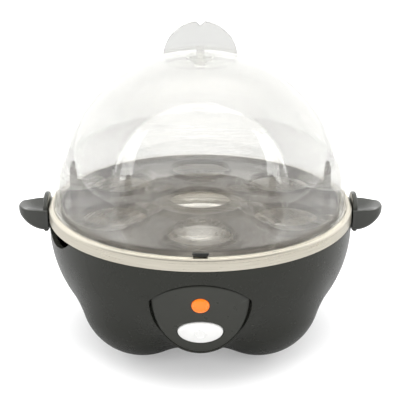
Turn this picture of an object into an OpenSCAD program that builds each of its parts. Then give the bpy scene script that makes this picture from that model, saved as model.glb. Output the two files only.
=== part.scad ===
// Domed egg cooker: a round heated pan in a moulded bowl on four bulbous feet, a tray that
// holds the eggs, and a clear domed lid. The origin is on the table under the middle of the bowl.
// +Z is up and the control panel faces -Y.

/* [Bowl] */
// Radius of the bowl at its rim
bowl_r = 79; // [72:1:92]
// Height of the bowl's rim above the table
rim_z = 65; // [60:1:76]
// Height of the bowl's flat underside above the table
floor_z = 8; // [7:0.5:11]
// Radius of the flat underside
floor_r = 44; // [40:1:50]
// Wall of the moulded bowl
bowl_wall = 2.5; // [2:0.1:3]

/* [Feet] */
// Angle of each foot from the left-right axis
foot_angle = 48; // [45:1:52]
// Distance from the bowl's axis to the middle of each foot's ball
foot_r = 43.5; // [40:0.5:46]
// Radius of each foot's ball
foot_ball = 31.5; // [29:0.5:33]
// Radius of the shoulder that carries the foot into the bowl
shoulder_ball = 40; // [36:0.5:42]
// Height of the shoulder's middle above the table
shoulder_z = 50.5; // [46:0.5:54]
// Diameter of a rubber foot pad
pad_d = 13; // [10:0.5:16]
// Thickness of a rubber foot pad
pad_t = 2.2; // [1.8:0.1:2.6]

/* [Heating pan] */
// Height of the steel trim band round the rim
band_h = 6.2; // [5:0.1:7]
// Sheet thickness of the pan
pan_t = 1; // [0.8:0.1:1.2]
// Depth of the pan below its flange
pan_depth = 15; // [12:0.5:18]
// Radius of the heating element's ring
element_r = 30; // [26:0.5:32]
// Diameter of the element's sheath
element_d = 7; // [6:0.1:8]
// Angle of the gap between the element's two ends
element_gap = 40; // [30:5:60]

/* [Egg tray] */
// Number of eggs in the outer ring
ring_eggs = 6; // [5:1:6]
// Radius of the ring that the outer eggs stand on
egg_ring_r = 49.5; // [48:0.5:51]
// Radius of an egg hole
egg_hole_r = 16; // [14:0.5:17]
// Height of the lifting arms' tops above the bowl's rim
arm_top = 27; // [22:0.5:28]
// Width of a lifting arm
arm_w = 16; // [12:0.5:18]

/* [Lid] */
// Wall of the clear dome
dome_wall = 2; // [1.6:0.1:2.4]
// Radius of the half-disc handle on the lid
fin_r = 18.8; // [15:0.2:22]
// Thickness of the handle at its foot
fin_t = 6; // [5:0.5:8]
// Diameter of the steam vent
vent_d = 5; // [3:0.5:7]

/* [Side handles] */
// Reach of a side handle beyond the bowl's rim
ear_reach = 16.5; // [14:0.5:20]
// Width of a side handle, front to back
ear_w = 21; // [18:0.5:26]
// Thickness of a side handle at its root
ear_t = 11; // [9:0.5:13]

/* [Control panel] */
// Half of the panel's width
panel_half = 23.5; // [21:0.5:26]
// Rise of the panel's arched top above its corners
panel_arch = 10; // [8:0.5:12]
// Drop of the panel's rounded bottom below its corners
panel_drop = 31; // [28:0.5:32]
// Lean of the panel, bottom edge inwards
panel_tilt = 15; // [12:1:18]
// Width of the push button
button_w = 21.8; // [18:0.2:24]
// Height of the push button
button_h = 12.6; // [10:0.2:14]
// Travel of the push button
button_travel = 2; // [1.5:0.1:2.5]
// Diameter of the lamp lens
lens_d = 8.4; // [6:0.2:10]

/* [Hidden] */
$fn = 96;

// Shared clearances
e = 0.01;
slip = 0.15;        // round a piece that is dropped into its seat
seat_gap = 0.6;     // between the lid's skirt and what it drops beside
cut = 20;           // how far a cutting shape runs past what it cuts

black = "#3b3c37";
steel = "#c9c6bf";
clear = [0.95, 0.96, 0.96, 0.25];
smoke = [0.35, 0.35, 0.32, 0.5];
white = "#f4f4f3";

// Bowl outline: a cubic curve from the straight rim down to the flat underside
rim_straight = 5;
bowl_curve = [[bowl_r, rim_z - rim_straight], [bowl_r, rim_z - 27],
    [bowl_r - 13, floor_z + 6], [floor_r, floor_z]];
bowl_steps = 12;
ledge_w = 3.5;
ledge_h = 3;
notch_turn = 204;
notch_depth = 6.6;
notch_r = 24.2;

// Feet
foot_gap = 1;
foot_z = foot_gap + foot_ball;
foot_wall = bowl_wall + 0.5;
shoulder_r = bowl_r - 0.5 - shoulder_ball;
foot_angles = [foot_angle, 180 - foot_angle, 180 + foot_angle, -foot_angle];

// Rim stack, upwards: shell, gasket, pan flange, steel band
gasket_t = 1;
band_t = 0.8;
band_lip_r = bowl_r - 3.8;
flange_r = bowl_r - band_t - 0.6;
flange_z = rim_z + gasket_t + pan_t;
band_top = rim_z + band_h;
pan_r = bowl_r - 8;
pan_floor = flange_z - pan_depth;
pan_under = pan_floor - pan_t;
ring_rise = 1.2;

// Lid
dome_r = band_lip_r + 0.2;
dome_in = dome_r - dome_wall;
dome_z = rim_z + 10;
dome_top = dome_z + dome_r;
skirt_r = band_lip_r - seat_gap;
skirt_low = flange_z + 0.6;
lid_flange_r = band_lip_r + 1.4;
lid_flange_low = band_top;
lid_flange_top = band_top + 1.6;
fin_z = dome_top - 4.2;
stud_d = 4;
nut_d = 14;
nut_under = 8.5;
locator_w = 8.5;
locator_h = 2;

// Tray
tray_r = dome_in - seat_gap;
tray_t = 1.8;
tray_z = flange_z + 2.5;
tray_rim_h = 6;
arm_t = 1.8;
arm_x = tray_r - 7.4;
collar_t = 1.6;
collar_h = 1.4;

// Panel, drawn in its own plane: x to the right, y up the face, z outwards
panel_y = -(bowl_r - 3.6);
panel_z = rim_z - 17.4;
panel_bend = 95;
panel_t = 2.4;
pod_wall = 2;
pod_depth = 26;
button_y = -18.5;
lens_y = -1.8;
button_gap = 0.3;
button_proud = 1.2;
button_skirt = 6;
button_dome = 48;    // radius of its domed face
button_shell = 1.5;  // wall of its skirt
stem_d = 6;
stem_in = 3;         // how far the stem sits in the switch at rest
switch_front = 12.5;
switch_depth = 10;
switch_w = 19;
switch_h = 12;
switch_socket = stem_in + button_travel + 1;
tag_w = 4.8;
tag_t = 0.8;
tag_x = 5;
post_x = 14.5;
post_y = -12;
post_d = 4.4;
screw_core = 1.1;    // radius of a self-tapping screw's thread and of its hole
screw_way = 2.6;     // clear hole for such a screw

// Pillars between the bowl's floor and the pan, and the screws in them
pillar_r = 38;
pillar_d = 8;
pillar_seat = floor_z + bowl_wall;
screw_d = 4;
screw_head_d = 7.5;
screw_head_h = 2.4;

// Mains inlet at the back
inlet_z = 22;
inlet_face = bowl_r - 10;
inlet_in = inlet_face - 9;
gland_bore = 6.8;
gland_d = 9;
gland_head_d = 13;
gland_head_t = 2;
gland_lip_d = 11;
gland_lip_t = 1.5;
lip_room = 0.5;        // clearance round the gland's inner lip
seat_d = 17;
clamp_y = inlet_in - 8;
clamp_x = 8;
clamp_h = 6;
clamp_boss_d = 7;
block_y = 18;
block_w = 26;
block_foot = 3;      // height of its bosses, and of its own mounting ears
block_depth = 12;
block_h = 10;
block_boss_d = 6;
block_hole_x = block_w / 2 - 3;
block_z = pillar_seat;
block_screw = 5;
boss_bore = 8;

// Internal leads, as points along each one
lead_d = 2.2;
lead_sides = 8;
route_live = [[3.5, 14, 18.5], [3.5, 9, 18.5], [7, 2, 17], [15, -8, 16], [17, -22, 19], [12, -33, 27],
    [8, -40, 34], [5, -44, 36.6]];
route_switched = [[-5, -44, 36.6], [-7.5, -40, 37], [-9.5, -33, 38], [-12, -26, 40], [-15, -20, 43],
    [-16.5, -17, 46], [-14.5, -16, 48.2], [-12, -16, 48.4]];
route_fused = [[12, -16, 48.4], [14.5, -16, 48], [15.5, -17, 45], [13, -18.5, 41.5], [7, -18, 40.5],
    [2, -14, 42], [0, -10, 42.9]];
route_heater = [[0, 10, 42.9], [0.5, 14, 42], [4, 20, 38], [10, 24, 32.5], [13, 26, 29], [13.6, 26.8, 31]];
route_neutral = [[-3.5, 14, 18.5], [-3.5, 9, 18.5], [-9, 3, 18], [-19, 5, 19], [-25, 14, 22], [-21, 23, 25],
    [-15, 26, 27], [-13.6, 26.8, 31]];
route_lamp_live = [[1.2, -62.6, 49.1], [1.5, -57, 48.6], [4, -49, 46], [13, -45, 43],
    [15, -42, 38], [10, -41, 36.5], [6.5, -43.5, 36.7]];
route_lamp_neutral = [[-1.2, -62.6, 49.1], [-1.5, -57, 48.6], [-4, -49, 46], [-18, -44, 40],
    [-24, -34, 32], [-26, -18, 24],
    [-22, -4, 20], [-12, 0, 18.5], [-6, 7, 18.5]];

// ---- shared shapes --------------------------------------------------------

// Point t along the cubic curve p, moved inwards by inset
function curve_point(p, t) = pow(1 - t, 3) * p[0] + 3 * pow(1 - t, 2) * t * p[1]
    + 3 * (1 - t) * t * t * p[2] + pow(t, 3) * p[3];
function curve_slope(p, t) = 3 * pow(1 - t, 2) * (p[1] - p[0]) + 6 * (1 - t) * t * (p[2] - p[1])
    + 3 * t * t * (p[3] - p[2]);
function inset_point(p, t, inset) = let (s = curve_slope(p, t))
    curve_point(p, t) + inset * [s[1], -s[0]] / norm(s);
function bowl_side(inset) = [for (i = [0:bowl_steps]) inset_point(bowl_curve, i / bowl_steps, inset)];

// Solid of the bowl's shape, moved inwards by inset and closed at height top
module bowl_solid(inset, top) {
    rotate_extrude()
        polygon(concat([[0, top], [bowl_r - inset, top]], bowl_side(inset),
            [[0, floor_z + inset]]));
}

// A foot: a shoulder ball and a foot ball joined by a cone that touches both
module foot_solid(inset) {
    run = [shoulder_r - foot_r, shoulder_z - foot_z];
    reach = norm(run);
    a = shoulder_ball - inset;
    b = foot_ball - inset;
    lean = asin((a - b) / reach);
    tip = atan2(run[0], run[1]);
    translate([foot_r, 0, foot_z])
        rotate([0, tip, 0])
            rotate_extrude()
                polygon(concat(
                    [for (i = [0:8]) let (q = -90 + i * (90 - lean) / 8) b * [cos(q), sin(q)]],
                    [for (i = [0:8]) let (q = -lean + i * (90 + lean) / 8)
                        a * [cos(q), sin(q)] + [0, reach]]));
}

// A flat ring
module ring(r_out, r_in, z, h) {
    translate([0, 0, z])
        difference() {
            cylinder(r = r_out, h = h);
            translate([0, 0, -e]) cylinder(r = r_in, h = h + 2 * e);
        }
}

// Places children in the panel's plane, at its middle and level with its corners
module at_panel() {
    translate([0, panel_y, panel_z]) rotate([90 + panel_tilt, 0, 0]) children();
}

// The panel's shield outline, grown by grow
function shield(grow) = let (w = panel_half + grow, up = panel_arch + grow, down = panel_drop + grow,
        arc = (w * w + up * up) / (2 * up), half = asin(w / arc))
    concat([for (i = [0:16]) let (q = 90 - half + i * half / 8) [arc * cos(q), up - arc + arc * sin(q)]],
        [for (i = [1:23]) let (q = 180 + i * 7.5) [w * cos(q), down * sin(q)]]);

function oval(w, h) = [for (i = [0:35]) [w / 2 * cos(i * 10), h / 2 * sin(i * 10)]];

// The solid behind the panel's curved front, pushed out by proud
module behind_front(proud) {
    translate([0, 0, -panel_bend])
        rotate([90, 0, 0])
            cylinder(r = panel_bend + proud, h = 120, center = true, $fn = 180);
}

// A countersunk or pan-headed screw pointing up, head at z = 0 and below
module screw(d, length, head_d, head_h) {
    translate([0, 0, -head_h])
        difference() {
            cylinder(d = head_d, h = head_h);
            translate([-head_d / 2 + 1, -0.5, -e]) cube([head_d - 2, 1, head_h / 2]);
        }
    translate([0, 0, -e]) cylinder(d = d, h = length + e);
}

// Points of a smooth path through the given points, steps to each span
function smooth_path(p, steps) = let (n = len(p)) concat(
    [for (i = [0:n - 2]) let (a = p[max(i - 1, 0)], b = p[i], c = p[i + 1], d = p[min(i + 2, n - 1)])
        for (k = [0:steps - 1]) let (t = k / steps)
            0.5 * (2 * b + (c - a) * t + (2 * a - 5 * b + 4 * c - d) * t * t
                + (3 * b - a - 3 * c + d) * pow(t, 3))],
    [p[n - 1]]);

// Triangles that skin n rings of the given number of sides, with both ends closed
function tube_faces(n, sides) = concat(
    [for (k = [1:sides - 2]) [0, k, k + 1]],
    [for (k = [1:sides - 2]) [(n - 1) * sides, (n - 1) * sides + k + 1, (n - 1) * sides + k]],
    [for (i = [0:n - 2]) for (k = [0:sides - 1]) let (a = i * sides + k, b = i * sides + (k + 1) % sides)
        each [[a, a + sides, b + sides], [a, b + sides, b]]]);

// A round lead swept along its route, each ring square to the way the lead runs
function lead_frame(d) = let (side = norm(cross(d, [0, 0, 1])) > 0.2 ? cross(d, [0, 0, 1]) : cross(d, [1, 0, 0]),
    u = side / norm(side)) [u, cross(u, d)];
module lead(route) {
    points = smooth_path(route, 3);
    n = len(points);
    ways = [for (i = [0:n - 1]) let (w = points[min(i + 1, n - 1)] - points[max(i - 1, 0)]) w / norm(w)];
    rings = [for (i = [0:n - 1]) let (f = lead_frame(ways[i])) for (k = [0:lead_sides - 1])
        points[i] + lead_d / 2 * (cos(k * 360 / lead_sides) * f[0] + sin(k * 360 / lead_sides) * f[1])];
    polyhedron(points = rings, faces = tube_faces(n, lead_sides));
}

// ---- bowl and feet --------------------------------------------------------

module pod_solid() {
    intersection() {
        at_panel()
            intersection() {
                translate([0, 0, -pod_depth]) linear_extrude(pod_depth + 1) polygon(shield(pod_wall));
                behind_front(-0.6);
            }
        cylinder(r = bowl_r, h = rim_z - 1);
    }
}

module base_shell() {
    color(black)
        difference() {
            union() {
                bowl_solid(0, rim_z);
                for (a = foot_angles) rotate([0, 0, a]) foot_solid(0);
                pod_solid();
                // seat for the mains gland
                translate([0, inlet_in, inlet_z]) rotate([-90, 0, 0]) cylinder(d = seat_d, h = inlet_face - inlet_in);
            }
            // hollow, leaving the ledge under the gasket
            difference() {
                union() {
                    bowl_solid(bowl_wall, rim_z + 1);
                    for (a = foot_angles) rotate([0, 0, a]) foot_solid(foot_wall);
                }
                ring(bowl_r, bowl_r - bowl_wall - ledge_w, rim_z - ledge_h, ledge_h);
                translate([0, inlet_in, inlet_z]) rotate([-90, 0, 0]) cylinder(d = seat_d, h = cut);
                shell_bosses();
            }
            // above the rim
            translate([0, 0, rim_z]) cylinder(r = bowl_r + cut, h = cut * 2);
            // pocket for the panel, and the room behind it
            at_panel() {
                linear_extrude(cut) polygon(shield(slip));
                intersection() {
                    difference() {
                        translate([0, 0, -panel_t - 4]) linear_extrude(cut) polygon(shield(slip));
                        behind_front(-panel_t);
                    }
                    behind_front(cut);
                }
                translate([0, 0, -pod_depth - 1]) linear_extrude(cut + pod_depth) polygon(shield(-pod_wall));
            }
            // holes: gland, base screws, handle screws, foot pads
            translate([0, inlet_in - 2, inlet_z]) rotate([-90, 0, 0]) cylinder(d = gland_d + 0.1, h = cut);
            translate([0, inlet_face, inlet_z]) rotate([-90, 0, 0]) cylinder(d = gland_head_d + 1, h = cut);
            // room for the gland's lip where the wall curves in under it
            translate([0, inlet_in - gland_lip_t - lip_room, inlet_z]) rotate([-90, 0, 0])
                cylinder(d = gland_lip_d + 2 * lip_room, h = gland_lip_t + lip_room);
            for (a = [0:90:270]) rotate([0, 0, a]) translate([pillar_r, 0, 0]) {
                cylinder(d = screw_d + 0.4, h = floor_z * 3);
                translate([0, 0, floor_z - 1]) cylinder(d = screw_head_d + 0.6, h = 1.4);
            }
            for (s = [-1, 1]) handle_bores(s);
            for (a = foot_angles) rotate([0, 0, a])
                translate([foot_r, 0, -1]) cylinder(d = pad_d + 2 * slip, h = pad_t + 1);
            finger_notch();
        }
}

// Bosses that rise from the bowl's floor for the cord clamp and the terminal block
module shell_bosses() {
    for (s = [-1, 1]) {
        translate([s * clamp_x, clamp_y, 0]) boss(clamp_boss_d, inlet_z);
        translate([s * block_hole_x, block_y, 0]) boss(block_boss_d, block_z + block_foot);
    }
    translate([-4, clamp_y - 3, 0]) cube([8, 6, inlet_z - gland_bore / 2 - 0.2]);
}

module boss(d, top) {
    difference() {
        cylinder(d = d, h = top);
        translate([0, 0, top - boss_bore]) cylinder(d = 2 * screw_core, h = boss_bore + e);
    }
}

// Shallow notch in the rim beside the left handle, towards the front
module finger_notch() {
    rotate([0, 0, notch_turn])
        translate([bowl_r - bowl_wall - ledge_w - 1, 0, rim_z - notch_depth + notch_r])
            rotate([0, 90, 0]) cylinder(r = notch_r, h = cut);
}

module foot_pads() {
    color("#1d1d1c")
        for (a = foot_angles) rotate([0, 0, a])
            translate([foot_r, 0, 0]) cylinder(d = pad_d, h = pad_t);
}

// ---- rim, pan and what heats it ------------------------------------------

module steel_band() {
    color(steel)
        rotate_extrude()
            polygon([[bowl_r - band_t, rim_z], [bowl_r, rim_z], [bowl_r, band_top - 0.8],
                [bowl_r - 0.25, band_top - 0.25], [bowl_r - 0.8, band_top],
                [band_lip_r, band_top], [band_lip_r, flange_z], [band_lip_r + band_t, flange_z],
                [band_lip_r + band_t, band_top - band_t], [bowl_r - band_t, band_top - band_t]]);
}

module plate_gasket() {
    color("#a9a8a2") ring(flange_r, bowl_r - bowl_wall - ledge_w, rim_z, gasket_t);
}

module heating_plate() {
    color(steel)
        rotate_extrude()
            polygon([[0, pan_under], [pan_r - 6, pan_under], [pan_r - 3.6, pan_under + 0.9],
                [pan_r - 2.4, pan_under + 3], [pan_r + pan_t - 0.6, flange_z - pan_t],
                [flange_r, flange_z - pan_t], [flange_r, flange_z], [pan_r, flange_z],
                [pan_r - 3.4, pan_floor + 2.6], [pan_r - 4.4, pan_floor + 0.6],
                [pan_r - 6, pan_floor], [element_r + 18, pan_floor],
                [element_r + 16.5, pan_floor + ring_rise], [element_r + 12.5, pan_floor + ring_rise],
                [element_r + 11, pan_floor], [9, pan_floor], [8, pan_floor + 0.4],
                [0, pan_floor + 0.4]]);
}

// Sheathed element: an open ring with a terminal post near each end
module heating_element() {
    z = pan_under - element_d / 2;
    color("#8c8a86")
        rotate([0, 0, 90]) {
            translate([0, 0, z])
                rotate([0, 0, element_gap / 2])
                    rotate_extrude(angle = 360 - element_gap)
                        translate([element_r, 0]) circle(d = element_d);
            for (s = [-1, 1]) rotate([0, 0, s * (element_gap / 2 + 7)]) translate([element_r, 0, 0]) {
                translate([0, 0, z - 11]) cylinder(d = 5, h = 10);
                translate([0, 0, z - 17]) cylinder(d = 2.6, h = 8);
            }
        }
}

stat_d = 17;
stat_cap = 4;
stat_body = 6;
module thermostat() {
    color("#d8d4c8") {
        translate([0, 0, pan_under - stat_cap]) cylinder(d = stat_d, h = stat_cap);
        translate([0, 0, pan_under - stat_cap - stat_body]) cylinder(d = 12, h = stat_body + e);
        for (s = [-1, 1])
            translate([-3, s * 7.5 - 3, pan_under - stat_cap - stat_body + 1.5]) cube([6, 6, 0.8]);
    }
}

bracket_w = 15;
bracket_half = 20;
module thermostat_bracket() {
    t = 0.8;
    low = pan_under - stat_cap - t;
    color("#b9bcc0")
        difference() {
            union() {
                translate([-bracket_half, -bracket_w / 2, low]) cube([2 * bracket_half, bracket_w, t]);
                for (s = [-1, 1]) {
                    translate([s * (bracket_half - t / 2) - t / 2, -bracket_w / 2, low])
                        cube([t, bracket_w, stat_cap + t]);
                    translate([s * (bracket_half + 1.5) - 2, -bracket_w / 2, pan_under - t])
                        cube([4, bracket_w, t]);
                }
            }
            translate([0, 0, low - 1]) cylinder(d = 12.4, h = 3);
        }
}

fuse_y = -16;
fuse_d = 4;
module thermal_fuse() {
    z = pan_under - fuse_d / 2 - 0.6;
    color("#d2b96a")
        translate([0, fuse_y, z]) rotate([0, 90, 0]) {
            cylinder(d = fuse_d, h = 11, center = true, $fn = 48);
            cylinder(d = 1, h = 25, center = true, $fn = 24);
        }
}

module fuse_clip() {
    z = pan_under - fuse_d / 2 - 0.6;
    color("#b9bcc0")
        difference() {
            translate([-2.5, fuse_y, 0]) {
                translate([0, 0, z]) rotate([0, 90, 0]) cylinder(d = fuse_d + 1.1, h = 5, $fn = 48);
                translate([0, -6, pan_under - 0.6]) cube([5, 12, 0.6]);
                translate([0, -fuse_d / 2 - 0.55, z]) cube([5, fuse_d + 1.1, pan_under - z]);
            }
            translate([-4, fuse_y, z]) rotate([0, 90, 0]) cylinder(d = fuse_d, h = 8, $fn = 48);
            translate([-4, fuse_y - fuse_d / 2, z]) cube([8, fuse_d, pan_under - z - 0.6]);
        }
}

module clamp_pillars() {
    color("#9a9a98")
        for (a = [0:90:270]) rotate([0, 0, a]) translate([pillar_r, 0, pillar_seat])
            difference() {
                cylinder(d = pillar_d, h = pan_under - pillar_seat);
                translate([0, 0, -e]) cylinder(d = screw_d, h = 13);
            }
}

module base_screws() {
    color("#8f9092")
        for (a = [0:90:270]) rotate([0, 0, a])
            translate([pillar_r, 0, floor_z + 0.4]) screw(screw_d, 13, screw_head_d, screw_head_h - 0.4);
}

// ---- side handles ---------------------------------------------------------

ear_top = rim_z + 4;
ear_back = 0.2;
guard_t = 2.6;
guard_rise = 10.3;
guard_r = ear_w / 2 - 1;
guard_low = rim_z - 8;
boss_z = rim_z - 5.5;
boss_y = 5.5;
spigot_d = 4;

// Holes through the bowl's wall for one handle's spigots
module handle_bores(side) {
    for (y = [-boss_y, boss_y])
        translate([side * (bowl_r - bowl_wall - 4), y, boss_z])
            rotate([0, side * 90, 0]) cylinder(d = spigot_d + 0.2, h = bowl_wall + 8);
}

// Thumb rest: half an oval in plan, dished on top and sloping up underneath
module thumb_rest(root) {
    reach = ear_reach - ear_back - guard_t / 2;
    difference() {
        translate([root + guard_t / 2, 0, ear_top - ear_t])
            linear_extrude(ear_t)
                polygon([for (i = [0:24]) let (q = -90 + i * 7.5) [reach * cos(q), ear_w / 2 * sin(q)]]);
        translate([root + guard_t, -ear_w, ear_top - ear_t - 1])
            rotate([0, -24, 0]) translate([0, 0, -cut]) cube([2 * cut, 2 * ear_w, cut]);
        translate([root + 9, 0, ear_top + 22]) sphere(r = 24);
    }
}

// Right-hand handle; the left one is its mirror image
module ear() {
    root = bowl_r + ear_back;
    guard_mid = rim_z + guard_rise - guard_r;
    difference() {
        union() {
            thumb_rest(root);
            // round-topped guard between the hot rim and the fingers
            translate([root, 0, guard_mid]) rotate([0, 90, 0]) cylinder(r = guard_r, h = guard_t);
            translate([root, -guard_r, guard_low]) cube([guard_t, 2 * guard_r, guard_mid - guard_low]);
            // spigots that pass through the bowl's wall
            for (y = [-boss_y, boss_y])
                translate([bowl_r - bowl_wall, y, boss_z]) rotate([0, 90, 0]) cylinder(d = spigot_d, h = bowl_wall + 1);
        }
        for (y = [-boss_y, boss_y])
            translate([bowl_r - bowl_wall - 1, y, boss_z]) rotate([0, 90, 0]) cylinder(d = 2 * screw_core, h = 8);
    }
}

module handle_right() {
    color(black) ear();
}

module handle_left() {
    color(black) mirror([1, 0, 0]) ear();
}

module handle_screws() {
    head_d = 4.4;
    // the head's far edge meets the round wall first
    seat = sqrt(pow(bowl_r - bowl_wall, 2) - pow(boss_y + head_d / 2, 2)) - 0.1;
    color("#8f9092")
        for (s = [-1, 1]) for (y = [-boss_y, boss_y])
            translate([s * seat, y, boss_z]) rotate([0, s * 90, 0]) screw(2 * screw_core, 6, head_d, 1.4);
}

// ---- control panel --------------------------------------------------------

module control_panel() {
    color("#464842")
        at_panel()
            difference() {
                union() {
                    intersection() {
                        translate([0, 0, -panel_t - 4]) linear_extrude(panel_t + 6) polygon(shield(0));
                        difference() {
                            behind_front(0);
                            behind_front(-panel_t);
                        }
                    }
                    // posts that carry the switch
                    for (s = [-1, 1]) translate([s * post_x, post_y, -switch_front])
                        cylinder(d = post_d, h = switch_front - 2);
                }
                translate([0, button_y, -cut]) linear_extrude(2 * cut)
                    polygon(oval(button_w + 2 * button_gap, button_h + 2 * button_gap));
                translate([0, lens_y, -cut]) cylinder(d = lens_d + 0.2, h = 2 * cut);
                for (s = [-1, 1]) translate([s * post_x, post_y, -switch_front - e])
                    cylinder(d = 2 * screw_core, h = 7);
            }
}

module lamp_lens() {
    color("#ec7518")
        at_panel()
            translate([0, lens_y, 0])
                difference() {
                    union() {
                        intersection() {
                            translate([0, 0, -4]) cylinder(d = lens_d, h = 8);
                            translate([0, 0, -7.1]) sphere(r = 8.5);
                        }
                        translate([0, 0, -4.2]) cylinder(d = lens_d + 2, h = 1.6);
                    }
                    translate([0, 0, -5]) cylinder(d = lens_d - 2.4, h = 4.4);
                }
}

lamp_d = 4.6;
lamp_l = 7;
module neon_lamp() {
    color("#e8b48a")
        at_panel()
            translate([0, lens_y, -lamp_l - 3]) {
                cylinder(d = lamp_d, h = lamp_l);
                translate([0, 0, lamp_l]) sphere(d = lamp_d);
                for (s = [-1, 1]) translate([s * 1.2, 0, -4]) cylinder(d = 0.8, h = 4 + e, $fn = 24);
            }
}

module power_button() {
    color(white)
        at_panel()
            translate([0, button_y, 0]) {
                difference() {
                    intersection() {
                        translate([0, 0, -button_skirt]) linear_extrude(button_skirt + 3)
                            polygon(oval(button_w, button_h));
                        translate([0, 0, button_proud - button_dome]) sphere(r = button_dome);
                    }
                    // hollow behind the cap
                    translate([0, 0, -button_skirt - e]) linear_extrude(button_skirt - button_shell)
                        polygon(oval(button_w - 2 * button_shell, button_h - 2 * button_shell));
                }
                translate([0, 0, -switch_front - stem_in]) cylinder(d = stem_d, h = switch_front + stem_in - 0.8);
                // raised power mark: an open ring and a bar
                intersection() {
                    translate([0, 0, button_proud - button_dome]) sphere(r = button_dome + 0.3);
                    translate([0, 0, 0]) {
                        rotate([0, 0, 120])
                            rotate_extrude(angle = 300) translate([2.1, 0]) square([0.6, 3]);
                        translate([-0.3, 0.4, 0]) cube([0.6, 2.6, 3]);
                    }
                }
            }
}

// Return spring round the button's stem
spring_d = 8;
spring_wire = 0.7;
spring_turns = 4;
module button_spring() {
    low = -switch_front + 0.4;
    high = -button_skirt + 4;
    steps = 12 * spring_turns;
    color("#b0b0ae")
        at_panel()
            translate([0, button_y, 0])
                coil([for (i = [0:steps]) let (q = i * 30)
                    [spring_d / 2 * cos(q), spring_d / 2 * sin(q), low + (high - low) * i / steps]]);
}

module coil(points) {
    n = len(points);
    sides = 6;
    rings = [for (i = [0:n - 1])
        let (w = points[min(i + 1, n - 1)] - points[max(i - 1, 0)], d = w / norm(w),
            out = [points[i][0], points[i][1], 0], u = out / norm(out), v = cross(d, u))
        for (k = [0:sides - 1]) points[i] + spring_wire / 2 * (cos(k * 60) * u + sin(k * 60) * v)];
    polyhedron(points = rings, faces = tube_faces(n, sides));
}

module switch_body() {
    color("#55565a")
        at_panel()
            translate([0, button_y, -switch_front]) {
                difference() {
                    union() {
                        translate([-switch_w / 2, -switch_h / 2, -switch_depth])
                            cube([switch_w, switch_h, switch_depth]);
                        translate([-post_x - 3, post_y - button_y - 3, -2]) cube([2 * post_x + 6, 6, 2]);
                    }
                    translate([0, 0, -switch_socket]) cylinder(d = stem_d + 0.6, h = switch_socket + e);
                    for (s = [-1, 1]) translate([s * post_x, post_y - button_y, -3]) cylinder(d = screw_way, h = 4);
                }
                for (s = [-1, 1]) translate([s * tag_x - tag_w / 2, -tag_t / 2, -switch_depth - 5])
                    cube([tag_w, tag_t, 5 + e]);
            }
}

module switch_screws() {
    color("#8f9092")
        at_panel()
            for (s = [-1, 1]) translate([s * post_x, post_y, -switch_front - 2]) screw(2 * screw_core, 7, 4.6, 1.6);
}

// ---- mains inlet ----------------------------------------------------------

module cord_gland() {
    color("#1d1d1c")
        translate([0, inlet_face, inlet_z])
            rotate([-90, 0, 0])
                difference() {
                    union() {
                        cylinder(d = gland_head_d, h = gland_head_t);
                        translate([0, 0, inlet_in - inlet_face - gland_lip_t])
                            cylinder(d = gland_d, h = inlet_face - inlet_in + gland_lip_t + e);
                        translate([0, 0, inlet_in - inlet_face - gland_lip_t])
                            cylinder(d = gland_lip_d, h = gland_lip_t);
                    }
                    translate([0, 0, -cut]) cylinder(d = gland_bore, h = 2 * cut);
                }
}

module cord_clamp() {
    color("#55565a")
        translate([0, clamp_y, inlet_z])
            difference() {
                translate([-clamp_x - 4, -4, 0]) cube([2 * clamp_x + 8, 8, clamp_h]);
                rotate([90, 0, 0]) cylinder(d = gland_bore + 0.4, h = cut, center = true);
                for (s = [-1, 1]) translate([s * clamp_x, 0, -1]) cylinder(d = screw_way, h = clamp_h + 2);
            }
}

module clamp_screws() {
    color("#8f9092")
        for (s = [-1, 1]) translate([s * clamp_x, clamp_y, inlet_z + clamp_h])
            rotate([180, 0, 0]) screw(2 * screw_core, 12, 5, 1.6);
}

module terminal_block() {
    way_d = 3;
    way_x = 3.5;
    color("#d9d4c4")
        translate([0, block_y, block_z + block_foot])
            difference() {
                union() {
                    translate([-block_w / 2, -block_depth / 2, 0]) cube([block_w, block_depth, block_foot]);
                    translate([6 - block_w / 2, -block_depth / 2, 0]) cube([block_w - 12, block_depth, block_h]);
                }
                for (s = [-1, 1]) {
                    translate([s * block_hole_x, 0, -1]) cylinder(d = screw_way, h = block_foot + 2);
                    // a way for the leads from front to back, and one for its clamping screw
                    translate([s * way_x, -cut / 2, block_h / 2])
                        rotate([-90, 0, 0]) cylinder(d = way_d, h = cut, $fn = 32);
                    translate([s * way_x, 0, block_h / 2 + 1]) cylinder(d = way_d, h = block_h / 2, $fn = 32);
                }
            }
}

module block_screws() {
    color("#8f9092")
        for (s = [-1, 1]) translate([s * block_hole_x, block_y, block_z + 2 * block_foot])
            rotate([180, 0, 0]) screw(2 * screw_core, block_screw, 5, 1.6);
}

// Each lead runs clear of everything between its two ends
module wire_mains_live() {
    color("#6b4a2f") lead(route_live);
}

module wire_switched() {
    color("#6b4a2f") lead(route_switched);
}

module wire_fused() {
    color("#6b4a2f") lead(route_fused);
}

module wire_heater() {
    color("#6b4a2f") lead(route_heater);
}

module wire_neutral() {
    color("#3d5a80") lead(route_neutral);
}

module wires_lamp() {
    color("#d8d4c8") {
        lead(route_lamp_live);
        lead(route_lamp_neutral);
    }
}

// ---- lid ------------------------------------------------------------------

module lid_dome() {
    color(clear)
        difference() {
            union() {
                sphere_cap(dome_r, lid_flange_low);
                // flange that rests on the band, and skirt inside it
                ring(lid_flange_r, dome_in, lid_flange_low, lid_flange_top - lid_flange_low);
                ring(skirt_r, dome_in, skirt_low, lid_flange_low - skirt_low + e);
            }
            sphere_cap(dome_in, skirt_low - 1);
            cylinder(d = stud_d + 0.4, h = dome_top + 1);
            translate([0, 24, dome_z]) cylinder(d = vent_d, h = dome_r);
            locator_shape(0, cut);
        }
}

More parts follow.
